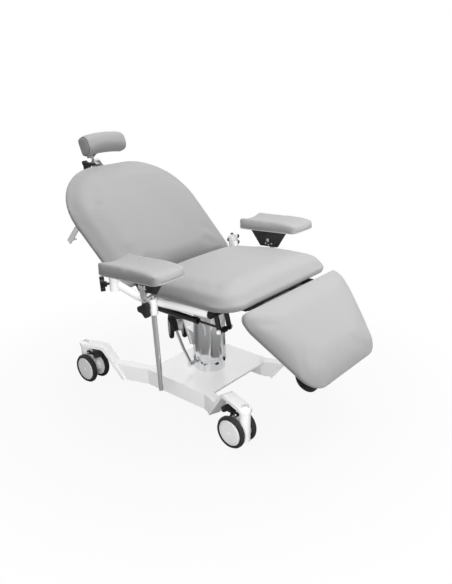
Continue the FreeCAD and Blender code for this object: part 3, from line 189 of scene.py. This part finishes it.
def vinyl(name, colour):
    """Smooth upholstery vinyl: a fine pebbled grain, slight clouding and a soft sheen."""
    paint = Paint(name, colour, roughness=0.5)
    paint.tint(paint.noise(size=0.16, detail=3), darkest=0.965, lightest=1.03)
    paint.rough(paint.noise(size=0.035), low=0.46, high=0.58)
    paint.bump(paint.noise(size=0.045), depth=0.0006, strength=0.35)
    paint.bump(paint.cells(size=0.0021), depth=0.00022, strength=0.45)
    paint.bump(paint.noise(size=0.0006), depth=0.00008, strength=0.4)
    paint.set("Sheen Weight", 0.06)
    paint.set("Sheen Roughness", 0.4)
    paint.set("Specular IOR Level", 0.42)
    return paint.material


def powder_coat(name, colour, roughness, wear_colour):
    """Stove enamel on steel: a slight orange peel under a glossy skin."""
    paint = Paint(name, colour, roughness)
    paint.soften(radius=0.0012)
    paint.tint(paint.noise(size=0.22, detail=3), darkest=0.975, lightest=1.015)
    paint.wear(wear_colour, amount=0.16)
    paint.rough(paint.noise(size=0.03, detail=3), low=roughness * 0.85, high=roughness * 1.2)
    paint.bump(paint.noise(size=0.0035), depth=0.00006, strength=0.35)
    paint.set("Coat Weight", 0.35)
    paint.set("Coat Roughness", 0.06)
    return paint.material


def plated(name, colour, roughness, stretch):
    """Bright metal with fine polishing lines along one axis and a few cloudy patches."""
    paint = Paint(name, colour, roughness, metallic=1.0)
    paint.soften(radius=0.0008)
    paint.tint(paint.noise(size=0.05, detail=3), darkest=0.93, lightest=1.03)
    paint.rough(paint.noise(size=0.012, detail=4, stretch=stretch), low=roughness * 0.6,
                high=roughness * 1.7)
    paint.bump(paint.noise(size=0.0012, stretch=stretch), depth=0.00002, strength=0.25)
    paint.bump(paint.noise(size=0.03, detail=1), depth=0.0001, strength=0.1)
    return paint.material


def moulded(name, colour, roughness, grain, wear_colour):
    """Moulded plastic or rubber: an even spark eroded grain and paler rubbed edges."""
    paint = Paint(name, colour, roughness)
    paint.soften(radius=0.001)
    paint.tint(paint.noise(size=0.06, detail=3), darkest=0.88, lightest=1.1)
    paint.wear(wear_colour, amount=0.3)
    paint.rough(paint.noise(size=0.02), low=roughness * 0.88, high=roughness * 1.12)
    paint.bump(paint.noise(size=grain, detail=3), depth=grain * 0.2, strength=0.4)
    return paint.material


def dust_cover(name, colour):
    """Black non-woven cloth under the cushions."""
    paint = Paint(name, colour, roughness=0.9)
    fibres = paint.noise(size=0.0012, detail=4, stretch=(3, 1, 1), rough=0.7)
    paint.tint(fibres, darkest=0.6, lightest=1.5)
    paint.bump(fibres, depth=0.0003, strength=0.6)
    paint.set("Sheen Weight", 0.2)
    return paint.material


def grey(level):
    return level, level, level


VINYL = vinyl("grey_vinyl", grey(0.53))
# Near black as painted shade in the headrest's seams; the cord itself is grey vinyl
SHADED_SEAM = vinyl("seam_vinyl", grey(0.08))
WHITE = powder_coat("white_enamel", (0.86, 0.86, 0.865), 0.16, wear_colour=grey(0.9))
BLACK_PAINT = powder_coat("black_enamel", (0.028, 0.028, 0.03), 0.38, wear_colour=grey(0.12))
CHROME = plated("chrome", (0.83, 0.835, 0.845), 0.07, stretch=(1, 1, 14))
STEEL = plated("ground_steel", (0.5, 0.5, 0.52), 0.28, stretch=(1, 1, 8))
BLACK = moulded("black_plastic", (0.03, 0.03, 0.032), 0.44, grain=0.0007, wear_colour=grey(0.11))
RUBBER = moulded("black_rubber", (0.022, 0.022, 0.023), 0.7, grain=0.0009, wear_colour=grey(0.06))
TYRE = moulded("tyre_rubber", (0.05, 0.05, 0.052), 0.55, grain=0.0008, wear_colour=grey(0.12))
DISC = moulded("disc_plastic", (0.7, 0.7, 0.705), 0.4, grain=0.0009, wear_colour=grey(0.72))
FORK = moulded("fork_plastic", (0.8, 0.8, 0.805), 0.36, grain=0.0008, wear_colour=grey(0.86))
CLOTH = dust_cover("dust_cover", grey(0.02))

# The finish of each node by a word in its name, the first that fits; the rest of the frame is white
FINISHES = {
    "_tyres": TYRE, "_discs": DISC, "_brake": BLACK, "knob": BLACK, "rail_caps": BLACK,
    "pump_grip": RUBBER, "bumpers": RUBBER,
    "arm_bracket": BLACK_PAINT, "gas_fork": BLACK_PAINT, "gas_cylinder": BLACK_PAINT,
    # The legrest frame and the seat frame are black as painted shade: it makes the gap between the seat
    # and the legrest read dark
    "gas_rod": BLACK_PAINT, "legrest_frame": BLACK_PAINT, "seat_frame": BLACK_PAINT,
    "hydraulic": STEEL,
    "column": CHROME, "pump_lever": CHROME, "headrest_clamp": CHROME, "headrest_stem": CHROME,
    "headrest_bracket": CHROME, "lift_ram": CHROME, "arm_post": CHROME, "arm_clevis": CHROME,
}


def finish_of(name):
    if name.startswith("caster_") and name.endswith("_fork"):
        return FORK
    return next((paint for word, paint in FINISHES.items() if word in name), WHITE)


for node_name, node in NODES.items():
    node.data.materials.clear()
    node.data.materials.append(finish_of(node_name))


# Mesh helpers
def new_object(name, mesh, material):
    obj = bpy.data.objects.new(name, mesh)
    SCENE.collection.objects.link(obj)
    mesh.materials.clear()
    mesh.materials.append(material)
    return obj


def shade_smooth(mesh):
    mesh.polygons.foreach_set("use_smooth", [True] * len(mesh.polygons))
    mesh.update()


def add_piece(name, vertices, faces, material, body, slot, smooth=True):
    """A small hard piece that rides on a body."""
    mesh = bpy.data.meshes.new(name)
    mesh.from_pydata(vertices, [], faces)
    if smooth:
        shade_smooth(mesh)
    obj = new_object(name, mesh, material)
    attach(obj, body)


def band_faces(rings, sides, start=0, closed=False):
    """Quads between rings of points that follow each other from a first index."""
    faces = []
    for ring in range(rings if closed else rings - 1):
        here, ahead = start + ring * sides, start + (ring + 1) % rings * sides
        for side in range(sides):
            beside = (side + 1) % sides
            faces.append((here + side, here + beside, ahead + beside, ahead + side))
    return faces


def coordinates(mesh):
    points = np.empty(len(mesh.vertices) * 3, np.float32)
    mesh.vertices.foreach_get("co", points)
    return points.reshape(-1, 3).astype(float)


def set_coordinates(mesh, points):
    mesh.vertices.foreach_set("co", points.astype(np.float32).ravel())
    mesh.update()


def through(matrix, points):
    """Points taken through a matrix."""
    values = np.array(matrix)
    return points @ values[:3, :3].T + values[:3, 3]


def edge_ends(mesh):
    ends = np.empty(len(mesh.edges) * 2, np.int32)
    mesh.edges.foreach_get("vertices", ends)
    return ends.reshape(-1, 2)


def neighbour_pull(ends, count):
    """A function that gives each point's way to the middle of its neighbours."""
    first, second = ends[:, 0], ends[:, 1]
    degree = np.bincount(ends.ravel(), minlength=count)[:, None]

    def pull(points):
        total = np.stack([np.bincount(first, points[second, axis], count)
                          + np.bincount(second, points[first, axis], count)
                          for axis in range(3)], 1)
        return total / degree - points

    return pull


def smoothed(points, ends, rounds):
    """Even out small steps without shrinking the form."""
    pull = neighbour_pull(ends, len(points))
    for _ in range(rounds):
        for factor in (0.5, -0.515):
            points = points + factor * pull(points)
    return points


def relaxed(points, ends, free, rounds):
    """Let the free points settle towards their neighbours, so that edges become soft rolls."""
    pull = neighbour_pull(ends, len(points))
    for _ in range(rounds):
        points = points + 0.5 * free[:, None] * pull(points)
    return points


def applied(obj):
    """The object's mesh with its modifiers applied."""
    shown = obj.evaluated_get(bpy.context.evaluated_depsgraph_get())
    return bpy.data.meshes.new_from_object(shown)


# Upholstery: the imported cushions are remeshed, relaxed into rolls and puffed out as cloth
CLOTH_FRAMES = 20      # frames that the cloth runs for
CLOTH_PRESSURE = 4.0
VOXEL_ROUNDS = 10      # takes the steps out of a new skin
WRINKLE_ROUNDS = 14    # takes the wrinkles out of the cloth
RIM_FADE = 0.2         # share of the thickness over which the cover comes free above its rim
SQUARE_HOLD = 0.12     # how free a squared end stays
SKIRT_SHARE = 0.6      # share of the thickness below which a fuller seat widens
NOSE_START = 0.3       # share of the front half at which a nose starts to drop
TINY = 1e-9
PAD_BOARD = 4 * MM     # room for the board under an arm pad
SLACK = 1.5 * MM       # how far a kept piece may pass its cushion's ends


def remeshed(node, voxel):
    """An even skin of small quads over a packed cushion."""
    mesh = NODES[node].data.copy()
    work = bmesh.new()
    work.from_mesh(mesh)
    bmesh.ops.remove_doubles(work, verts=work.verts, dist=1e-5)
    work.to_mesh(mesh)
    work.free()
    obj = bpy.data.objects.new(node + "_skin", mesh)
    SCENE.collection.objects.link(obj)
    skin = obj.modifiers.new("skin", "REMESH")
    skin.mode, skin.voxel_size = "VOXEL", voxel
    made = applied(obj)
    bpy.data.objects.remove(obj)
    return made


def puffed(mesh, held, reach):
    """The skin's points after air has drawn it taut over the foam, held along its back."""
    rest = coordinates(mesh)
    obj = bpy.data.objects.new("puff", mesh)
    SCENE.collection.objects.link(obj)
    group = obj.vertex_groups.new(name="held")
    group.add([int(index) for index in np.flatnonzero(held)], 1.0, "REPLACE")
    cloth = obj.modifiers.new("cloth", "CLOTH")
    settings = cloth.settings
    settings.quality = 4
    settings.mass = 0.3
    settings.tension_stiffness = settings.compression_stiffness = 25
    settings.shear_stiffness = 12
    settings.bending_stiffness = 2
    settings.use_pressure = True
    settings.uniform_pressure_force = CLOTH_PRESSURE
    settings.vertex_group_mass = "held"
    settings.effector_weights.gravity = 0
    cloth.collision_settings.use_collision = False
    cloth.point_cache.frame_start, cloth.point_cache.frame_end = 1, CLOTH_FRAMES
    for step in range(1, CLOTH_FRAMES + 1):
        SCENE.frame_set(step)
    moved = coordinates(applied(obj)) - rest
    SCENE.frame_set(1)
    bpy.data.objects.remove(obj)
    length = np.linalg.norm(moved, axis=1, keepdims=True)
    return rest + moved * np.minimum(1, reach / np.maximum(length, TINY))


def rounded_plan(points, low, high, radius):
    """Bring the corners of a piece, seen from its front, to a radius."""
    centre, half = (low + high)[:2] / 2, (high - low)[:2] / 2
    offset = points[:, :2] - centre
    over = np.maximum(np.abs(offset) - (half - radius), 0)
    length = np.maximum(np.linalg.norm(over, axis=1, keepdims=True), TINY)
    kept = np.minimum(np.abs(offset), half - radius) + over * np.minimum(1, radius / length)
    points[:, :2] = centre + np.sign(offset) * kept


def upholstered(node, body, name, place, voxel, rim, rounds, reach, fill, board=0, longer=1, corner=0,
                square=0, fuller=0, lean=0, kept=False, bow=0, nose=0):
    """A padded piece over a packed cushion: place is the cushion's own frame, with Z to its front.

    The rim is the share of the thickness below which the cover is drawn tight over the board, and the
    board is the room left for a plate under the piece. A corner is a radius in plan. A square end keeps
    its edges over a length, and a kept piece stays as long as the cushion, so that it doesn't press on
    the one next to it. A fuller seat widens at its front edge, a bow drops the ends of a roll, a nose
    drops the front of a pad, and a lean turns the piece forwards.
    """
    mesh = remeshed(node, voxel)
    ends = edge_ends(mesh)
    points = through(place.inverted(), smoothed(coordinates(mesh), ends, VOXEL_ROUNDS))
    low, high = points.min(0), points.max(0)
    share = (points[:, 2] - low[2]) / (high[2] - low[2])
    points[:, 2] = np.maximum(points[:, 2], low[2] + board)
    if corner:
        rounded_plan(points, low, high, corner)

    # Soft rolls at the edges, brought back to the cushion's box
    free = np.clip((share - rim) / RIM_FADE, 0, 1)
    if square:
        free *= np.clip((points[:, 0] - low[0]) / square, SQUARE_HOLD, 1)
    points = relaxed(points, ends, free, rounds)
    shrunk_low, shrunk_high = points.min(0), points.max(0)
    points = low + (points - shrunk_low) * (high - low) / (shrunk_high - shrunk_low)
    points[:, 2] = low[2] + board + (points[:, 2] - low[2]) * (1 - board / (high[2] - low[2]))
    points[:, 0] = high[0] + (points[:, 0] - high[0]) * longer

    # The piece's own form: skirt, bow, nose and lean
    centre = (low + high)[:2] / 2
    forward = np.clip((points[:, 0] - centre[0]) / (high[0] - centre[0]), 0, 1)
    skirt = fuller * np.maximum(0, 1 - share / SKIRT_SHARE) ** 2
    points[:, :2] += (points[:, :2] - centre) * (skirt * forward)[:, None]
    points[:, 0] -= bow * ((points[:, 1] - centre[1]) / (high[1] - centre[1])) ** 2
    points[:, 2] -= nose * share * np.clip((forward - NOSE_START) / (1 - NOSE_START), 0, 1) ** 2
    ahead, up = points[:, 2] - low[2], points[:, 0].copy()
    points[:, 0] = up * math.cos(lean) + ahead * math.sin(lean)
    points[:, 2] = low[2] + ahead * math.cos(lean) - up * math.sin(lean)

    set_coordinates(mesh, through(place, points))
    points = relaxed(puffed(mesh, share < rim, reach), ends, free, WRINKLE_ROUNDS)
    if kept:
        points = through(place.inverted(), points)
        points[:, 0] = np.clip(points[:, 0], low[0] - SLACK, high[0] + SLACK)
        points = through(place, points)
    set_coordinates(mesh, points)
    obj = new_object(name, mesh, VINYL)
    detail = obj.modifiers.new("detail", "SUBSURF")
    detail.levels = detail.render_levels = 1
    shade_smooth(mesh)
    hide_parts(node)
    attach(obj, body)
    return obj


SEAT_FORM = dict(voxel=0.007, rim=0.27, rounds=45, reach=0.005, fill=0.85, fuller=0.03, kept=True)
BACK_FORM = dict(voxel=0.007, rim=0.27, rounds=60, reach=0.006, fill=0.8)
LEG_FORM = dict(voxel=0.006, rim=0.27, rounds=60, reach=0.006, fill=0.8, longer=1.025, square=0.05,
                corner=0.05, kept=True)
HEAD_FORM = dict(voxel=0.0035, rim=0.05, rounds=4, reach=0.003, fill=0.9, lean=math.radians(9),
                 bow=0.009)
PAD_FORM = dict(voxel=0.004, rim=0.12, rounds=9, reach=0.003, fill=0.9, board=PAD_BOARD, corner=0.026,
                longer=1.035, nose=0.006)
CUSHIONS = (
    ("seat_cushion", "lift", "seat_upholstery", MODULE, SEAT_FORM),
    ("backrest_cushion", "backrest", "backrest_upholstery", BACK, BACK_FORM),
    ("legrest_cushion", "legrest", "legrest_upholstery", LEG, LEG_FORM),
    ("headrest_pad", "headrest", "headrest_upholstery", HEAD, HEAD_FORM),
    ("arm_pad_right", "armrest_right", "arm_upholstery_right", MODULE, PAD_FORM),
    ("arm_pad_left", "armrest_left", "arm_upholstery_left", MODULE, PAD_FORM),
)
SOFT = {name: upholstered(node, body, name, place, **form)
        for node, body, name, place, form in CUSHIONS}


# Dust covers and boards under the upholstery
OUTLINE_STEP, BACK_BAND, BOARD_EASE = 8 * MM, 2 * MM, 1.2 * MM
COVER_INSET, COVER_LEVELS = 22 * MM, (-0.2 * MM, 2 * MM)
ARM_BOARD_INSET, ARM_BOARD_LEVELS = -0.6 * MM, (0.2 * MM - PAD_BOARD, 0.4 * MM)


def hull(points):
    """The convex outline of flat points, anticlockwise."""
    ordered = sorted(set(map(tuple, np.round(points, 5))))

    def chain(sequence):
        kept = []
        for point in sequence:
            while len(kept) > 1:
                a, b = np.subtract(kept[-1], kept[-2]), np.subtract(point, kept[-2])
                if a[0] * b[1] - a[1] * b[0] > 0:
                    break
                kept.pop()
            kept.append(point)
        return kept[:-1]

    return np.array(chain(ordered) + chain(reversed(ordered)))


def evened(outline, step, fewest=24, rounds=3):
    """Points at an even step along a closed outline, lightly smoothed."""
    closed = np.vstack([outline, outline[:1]])
    runs = np.linalg.norm(np.diff(closed, axis=0), axis=1)
    lengths = np.concatenate([[0], np.cumsum(runs)])
    where = np.linspace(0, lengths[-1], max(fewest, int(lengths[-1] / step)), endpoint=False)
    even = np.stack([np.interp(where, lengths, closed[:, axis]) for axis in range(closed.shape[1])], 1)
    for _ in range(rounds):
        even = (np.roll(even, 1, 0) + 2 * even + np.roll(even, -1, 0)) / 4
    return even


def along_of(loop):
    """The way from the point before to the point after, at each point of a closed line."""
    return np.roll(loop, -1, 0) - np.roll(loop, 1, 0)


def board(name, cushion, place, body, material, slot, inset, levels):
    """A plate with eased edges under a cushion, as wide as the cushion's back less an inset."""
    points = through(place.inverted(), coordinates(SOFT[cushion].data))
    floor = points[:, 2].min()
    bottom, top = levels
    outline = evened(hull(points[points[:, 2] < floor + BACK_BAND, :2]), OUTLINE_STEP)
    along = along_of(outline)
    inward = np.stack([-along[:, 1], along[:, 0]], 1) / np.linalg.norm(along, axis=1, keepdims=True)
    ease = min(BOARD_EASE, (top - bottom) / 3)
    rings = [(inset + ease, bottom), (inset, bottom + ease), (inset, top - ease), (inset + ease, top)]
    count, last = len(outline), (len(rings) - 1) * len(outline)
    vertices = [place @ Vector((*(spot + way * deep), floor + level)) for deep, level in rings
                for spot, way in zip(outline, inward)]
    faces = band_faces(len(rings), count)
    faces += [tuple(reversed(range(count))), tuple(range(last, last + count))]
    add_piece(name, vertices, faces, material, body, slot, smooth=False)


for body, place in (("seat", MODULE), ("legrest", LEG), ("backrest", BACK)):
    board(f"{body}_dust_cover", f"{body}_upholstery", place, "lift" if body == "seat" else body, CLOTH,
          "black_plastic", COVER_INSET, COVER_LEVELS)
for hand, _ in HANDS:
    board(f"arm_board_{hand}", f"arm_upholstery_{hand}", MODULE, f"armrest_{hand}", WHITE, "white_paint",
          ARM_BOARD_INSET, ARM_BOARD_LEVELS)


# Seams round the headrest's end panels, coloured near black as painted shade in their grooves
SEAM_OUT, SEAM_RADIUS, SEAM_STEP, SEAM_SIDES = 102 * MM, 1.2 * MM, 3 * MM, 6
ACROSS = 1             # the axis of the headrest's frame that runs across it


def cut_loop(obj, place, axis, where):
    """The closed line along which a piece's skin crosses a plane of its own frame."""
    mesh = applied(obj)
    points = through(place.inverted(), coordinates(mesh))
    ends = edge_ends(mesh)
    first, second = points[ends[:, 0]], points[ends[:, 1]]
    side = (first[:, axis] - where) * (second[:, axis] - where) < 0
    first, second = first[side], second[side]
    part = (where - first[:, axis]) / (second[:, axis] - first[:, axis])
    crossing = first + (second - first) * part[:, None]
    flat = np.delete(crossing - crossing.mean(0), axis, 1)
    return evened(crossing[np.argsort(np.arctan2(flat[:, 1], flat[:, 0]))], SEAM_STEP)


def seam(name, loop, place, axis, body):
    """A fine cord sewn along a flat closed line, coloured near black as painted shade in the seam's
    groove.
    """
    across = np.zeros(3)
    across[axis] = 1
    outward = np.cross(along_of(loop), across)
    outward /= np.linalg.norm(outward, axis=1, keepdims=True)
    turns = [2 * math.pi * side / SEAM_SIDES for side in range(SEAM_SIDES)]
    vertices = [place @ Vector(spot + SEAM_RADIUS * (math.cos(turn) * out + math.sin(turn) * across))
                for spot, out in zip(loop, outward) for turn in turns]
    add_piece(name, vertices, band_faces(len(loop), SEAM_SIDES, closed=True), SHADED_SEAM, body, "grey_vinyl")


for hand, way in HANDS:
    loop = cut_loop(SOFT["headrest_upholstery"], HEAD, ACROSS, -way * SEAM_OUT)
    seam(f"headrest_seam_{hand}", loop, HEAD, ACROSS, "headrest")


# Caps and screw heads, placed in the seat module in millimetres
CAP_RADIUS, CAP_HEIGHT = 10 * MM, 13 * MM
FORK_PIN_X, FORK_PIN_Z, FORK_PIN_ENDS = 271, -98, ((-265, -1), (-205, 1))
SCREW_RADIUS, SCREW_HEIGHT = 4.5 * MM, 2.5 * MM
BRACKET_X, BRACKET_INNER, BRACKET_Z = 37, 366, 50
SCREWS = ((-16, 4), (0, -2), (16, 4))
DOME_SIDES, DOME_RINGS = 20, 5


def dome_points(radius, height):
    """The points of a dome over the XY plane, ring by ring, with its tip as the last."""
    points = []
    for ring in range(DOME_RINGS):
        lean = ring / DOME_RINGS * math.pi / 2
        for side in range(DOME_SIDES):
            angle = 2 * math.pi * side / DOME_SIDES
            points.append(Vector((radius * math.cos(lean) * math.cos(angle),
                                  radius * math.cos(lean) * math.sin(angle), height * math.sin(lean))))
    return points + [Vector((0, 0, height))]


def domes(name, heads, radius, height, material, body, slot):
    """Rounded screw heads or caps, each from its base point and a direction."""
    vertices, faces = [], []
    for point, direction in heads:
        turn = Vector(direction).to_track_quat("Z", "Y").to_matrix()
        start = len(vertices)
        vertices += [point + turn @ spot for spot in dome_points(radius, height)]
        last, tip = start + (DOME_RINGS - 1) * DOME_SIDES, len(vertices) - 1
        faces += band_faces(DOME_RINGS, DOME_SIDES, start)
        faces += [(last + side, last + (side + 1) % DOME_SIDES, tip) for side in range(DOME_SIDES)]
        faces.append(tuple(start + side for side in reversed(range(DOME_SIDES))))
    add_piece(name, vertices, faces, material, body, slot)


def in_module(x, y, z):
    return MODULE @ Vector((x * MM, y * MM, z * MM))


caps = [(in_module(FORK_PIN_X, y, FORK_PIN_Z), (0, way, 0)) for y, way in FORK_PIN_ENDS]
domes("fork_pin_caps", caps, CAP_RADIUS, CAP_HEIGHT, FORK, "lift", "white_plastic")
for hand, way in HANDS:
    screws = [(in_module(BRACKET_X + x, way * BRACKET_INNER, BRACKET_Z + z), (0, -way, 0))
              for x, z in SCREWS]
    domes(f"bracket_screws_{hand}", screws, SCREW_RADIUS, SCREW_HEIGHT, CHROME, f"armrest_{hand}",
          "chrome")


# Floor, light and camera
FLOOR_HALF, SHADOW_NEAR, SHADOW_FAR = 9.0, 0.55, 1.25
FLOOR_WHITE = 0.92     # how white the camera sees the floor under the chair
SOFT_LIGHT, BACKDROP = 0.3, 1.0
# Brightness of the studio round the chair, as shares of a turn that starts behind the headrest
PANELS = ((0.0, 0.8), (0.05, 0.8), (0.08, 0.12), (0.13, 0.12), (0.16, 0.8), (0.22, 0.9), (0.24, 0.08),
          (0.29, 0.08), (0.31, 0.95), (0.35, 0.95), (0.37, 0.1), (0.45, 0.1), (0.47, 0.85), (0.57, 0.9),
          (0.6, 0.15), (0.66, 0.15), (0.7, 0.95), (1.0, 0.95))


def make_floor():
    """A pale floor that keeps a soft shadow near the chair and fades into the white backdrop."""
    mesh = bpy.data.meshes.new("floor")
    corners = ((-1, -1), (1, -1), (1, 1), (-1, 1))
    mesh.from_pydata([(x * FLOOR_HALF, y * FLOOR_HALF, 0) for x, y in corners], [], [(0, 1, 2, 3)])
    paint = Paint("floor", grey(0.5), roughness=0.6)
    paint.tint(paint.noise(size=0.6), darkest=0.99, lightest=1.0)
    emit = paint.node("ShaderNodeEmission")
    emit.inputs["Color"].default_value = (*grey(1), 1)
    emit.inputs["Strength"].default_value = BACKDROP
    path = paint.node("ShaderNodeLightPath")
    length = paint.node("ShaderNodeVectorMath", operation="LENGTH")
    share = paint.node("ShaderNodeMath", operation="MULTIPLY")
    mix = paint.node("ShaderNodeMixShader")
    paint.link(paint.place, length.inputs[0])
    fade = paint.span(length.outputs["Value"], FLOOR_WHITE, 1.0, SHADOW_NEAR, SHADOW_FAR)
    paint.link(fade, share.inputs[0])
    paint.link(path.outputs["Is Camera Ray"], share.inputs[1])
    paint.link(share.outputs["Value"], mix.inputs["Fac"])
    paint.link(paint.shader.outputs["BSDF"], mix.inputs[1])
    paint.link(emit.outputs["Emission"], mix.inputs[2])
    paint.link(mix.outputs["Shader"], paint.tree.nodes["Material Output"].inputs["Surface"])
    new_object("floor", mesh, paint.material)


def make_world():
    """White to the camera, with darker gaps between the studio's panels for the metal."""
    world = bpy.data.worlds.new("studio")
    SCENE.world = world
    world.use_nodes = True
    tree = world.node_tree
    tree.nodes.clear()
    link = tree.links.new
    kinds = ("TexCoord", "TexGradient", "ValToRGB", "Background", "Background", "Background",
             "LightPath", "Math", "MixShader", "MixShader", "OutputWorld")
    (place, turn, panels, soft, studio, backdrop, path, mirrored, indoors, seen,
     out) = (tree.nodes.new("ShaderNode" + kind) for kind in kinds)
    turn.gradient_type = "RADIAL"
    link(place.outputs["Generated"], turn.inputs["Vector"])
    link(turn.outputs["Fac"], panels.inputs["Fac"])
    steps = panels.color_ramp.elements
    while len(steps) < len(PANELS):
        steps.new(0.5)
    for step, (where, level) in zip(steps, PANELS):
        step.position = where
        step.color = (*grey(level), 1)
    link(panels.outputs["Color"], studio.inputs["Color"])
    for background, strength in ((soft, SOFT_LIGHT), (backdrop, BACKDROP)):
        background.inputs["Color"].default_value = (*grey(1), 1)
        background.inputs["Strength"].default_value = strength
    mirrored.operation = "MAXIMUM"
    link(path.outputs["Is Glossy Ray"], mirrored.inputs[0])
    link(path.outputs["Is Transmission Ray"], mirrored.inputs[1])
    link(mirrored.outputs["Value"], indoors.inputs["Fac"])
    link(soft.outputs["Background"], indoors.inputs[1])
    link(studio.outputs["Background"], indoors.inputs[2])
    link(path.outputs["Is Camera Ray"], seen.inputs["Fac"])
    link(indoors.outputs["Shader"], seen.inputs[1])
    link(backdrop.outputs["Background"], seen.inputs[2])
    link(seen.outputs["Shader"], out.inputs["Surface"])


def make_lamp(name, power, wide, at, target, lights, shadow=True, mirrored=True):
    """A soft square lamp, kept to some of the pieces, as flags keep a studio lamp."""
    lamp = bpy.data.lights.new(name, "AREA")
    lamp.energy, lamp.size = power, wide
    lamp.use_shadow = shadow
    obj = bpy.data.objects.new(name, lamp)
    obj.location = at
    obj.rotation_euler = (Vector(target) - Vector(at)).to_track_quat("-Z", "Y").to_euler()
    obj.visible_glossy = mirrored
    SCENE.collection.objects.link(obj)
    group = bpy.data.collections.new(name + "_pieces")
    for piece in lights:
        group.objects.link(piece)
    obj.light_linking.receiver_collection = group


def has_word(obj, *words):
    return any(word in obj.name for word in words)


def make_lamps():
    """Light from above and from the front, with fills for the white frame; chrome shows the studio."""
    lit = [obj for obj in SCENE.objects if obj.type == "MESH" and obj.data.materials[0] is not CHROME]
    shaded = [SOFT["backrest_upholstery"], SOFT["headrest_upholstery"]]
    fronted = [obj for obj in lit if obj not in shaded]
    pale = [obj for obj in lit if obj.data.materials[0] in (WHITE, FORK, DISC)
            and not has_word(obj, "holder", "arm_board")]
    low_pale = [obj for obj in lit if has_word(obj, "base", "side_frame", "holder")]
    fill_at, fill_target, fill_wide = (1.7, -2.2, 1.2), (0, 0, 0.3), 1.6
    make_lamp("overhead", 50, 2.2, (0.45, 0.2, 3.1), (0.1, 0, 0.5), lit)
    make_lamp("front", 15, 1.3, (2.1, 0.2, 1.4), (0.2, 0, 0.5), fronted)
    make_lamp("frame_fill", 66, fill_wide, fill_at, fill_target, pale, mirrored=False)
    make_lamp("base_fill", 36, fill_wide, (0.2, -0.2, 2.6), (0, 0, 0.1), low_pale, shadow=False,
              mirrored=False)
    make_lamp("holder_fill", 30, fill_wide, fill_at, fill_target, [NODES["roll_holder"]],
              mirrored=False)


def make_camera():
    """The photograph's camera, fitted to points of the chair."""
    yaw, pitch = math.radians(129.496), math.radians(21.076)
    focal_pixels, long_side, sensor = 624.0, 584, 36.0
    at = (COLUMN_X + 1.572, -1.797, 1.348)
    forward = Vector((math.cos(pitch) * math.cos(yaw), math.cos(pitch) * math.sin(yaw),
                      -math.sin(pitch)))
    right = Vector((math.sin(yaw), -math.cos(yaw), 0))
    up = right.cross(forward)
    lens = bpy.data.cameras.new("camera")
    lens.sensor_fit, lens.sensor_width = "AUTO", sensor
    lens.lens = sensor * focal_pixels / long_side
    lens.clip_start, lens.clip_end = 0.05, 100
    camera = bpy.data.objects.new("camera", lens)
    turned = Matrix((right, up, -forward)).transposed().to_4x4()
    camera.matrix_world = Matrix.Translation(at) @ turned
    SCENE.collection.objects.link(camera)
    SCENE.camera = camera


make_floor()
make_world()
make_lamps()
make_camera()
SCENE.view_settings.view_transform = "Standard"
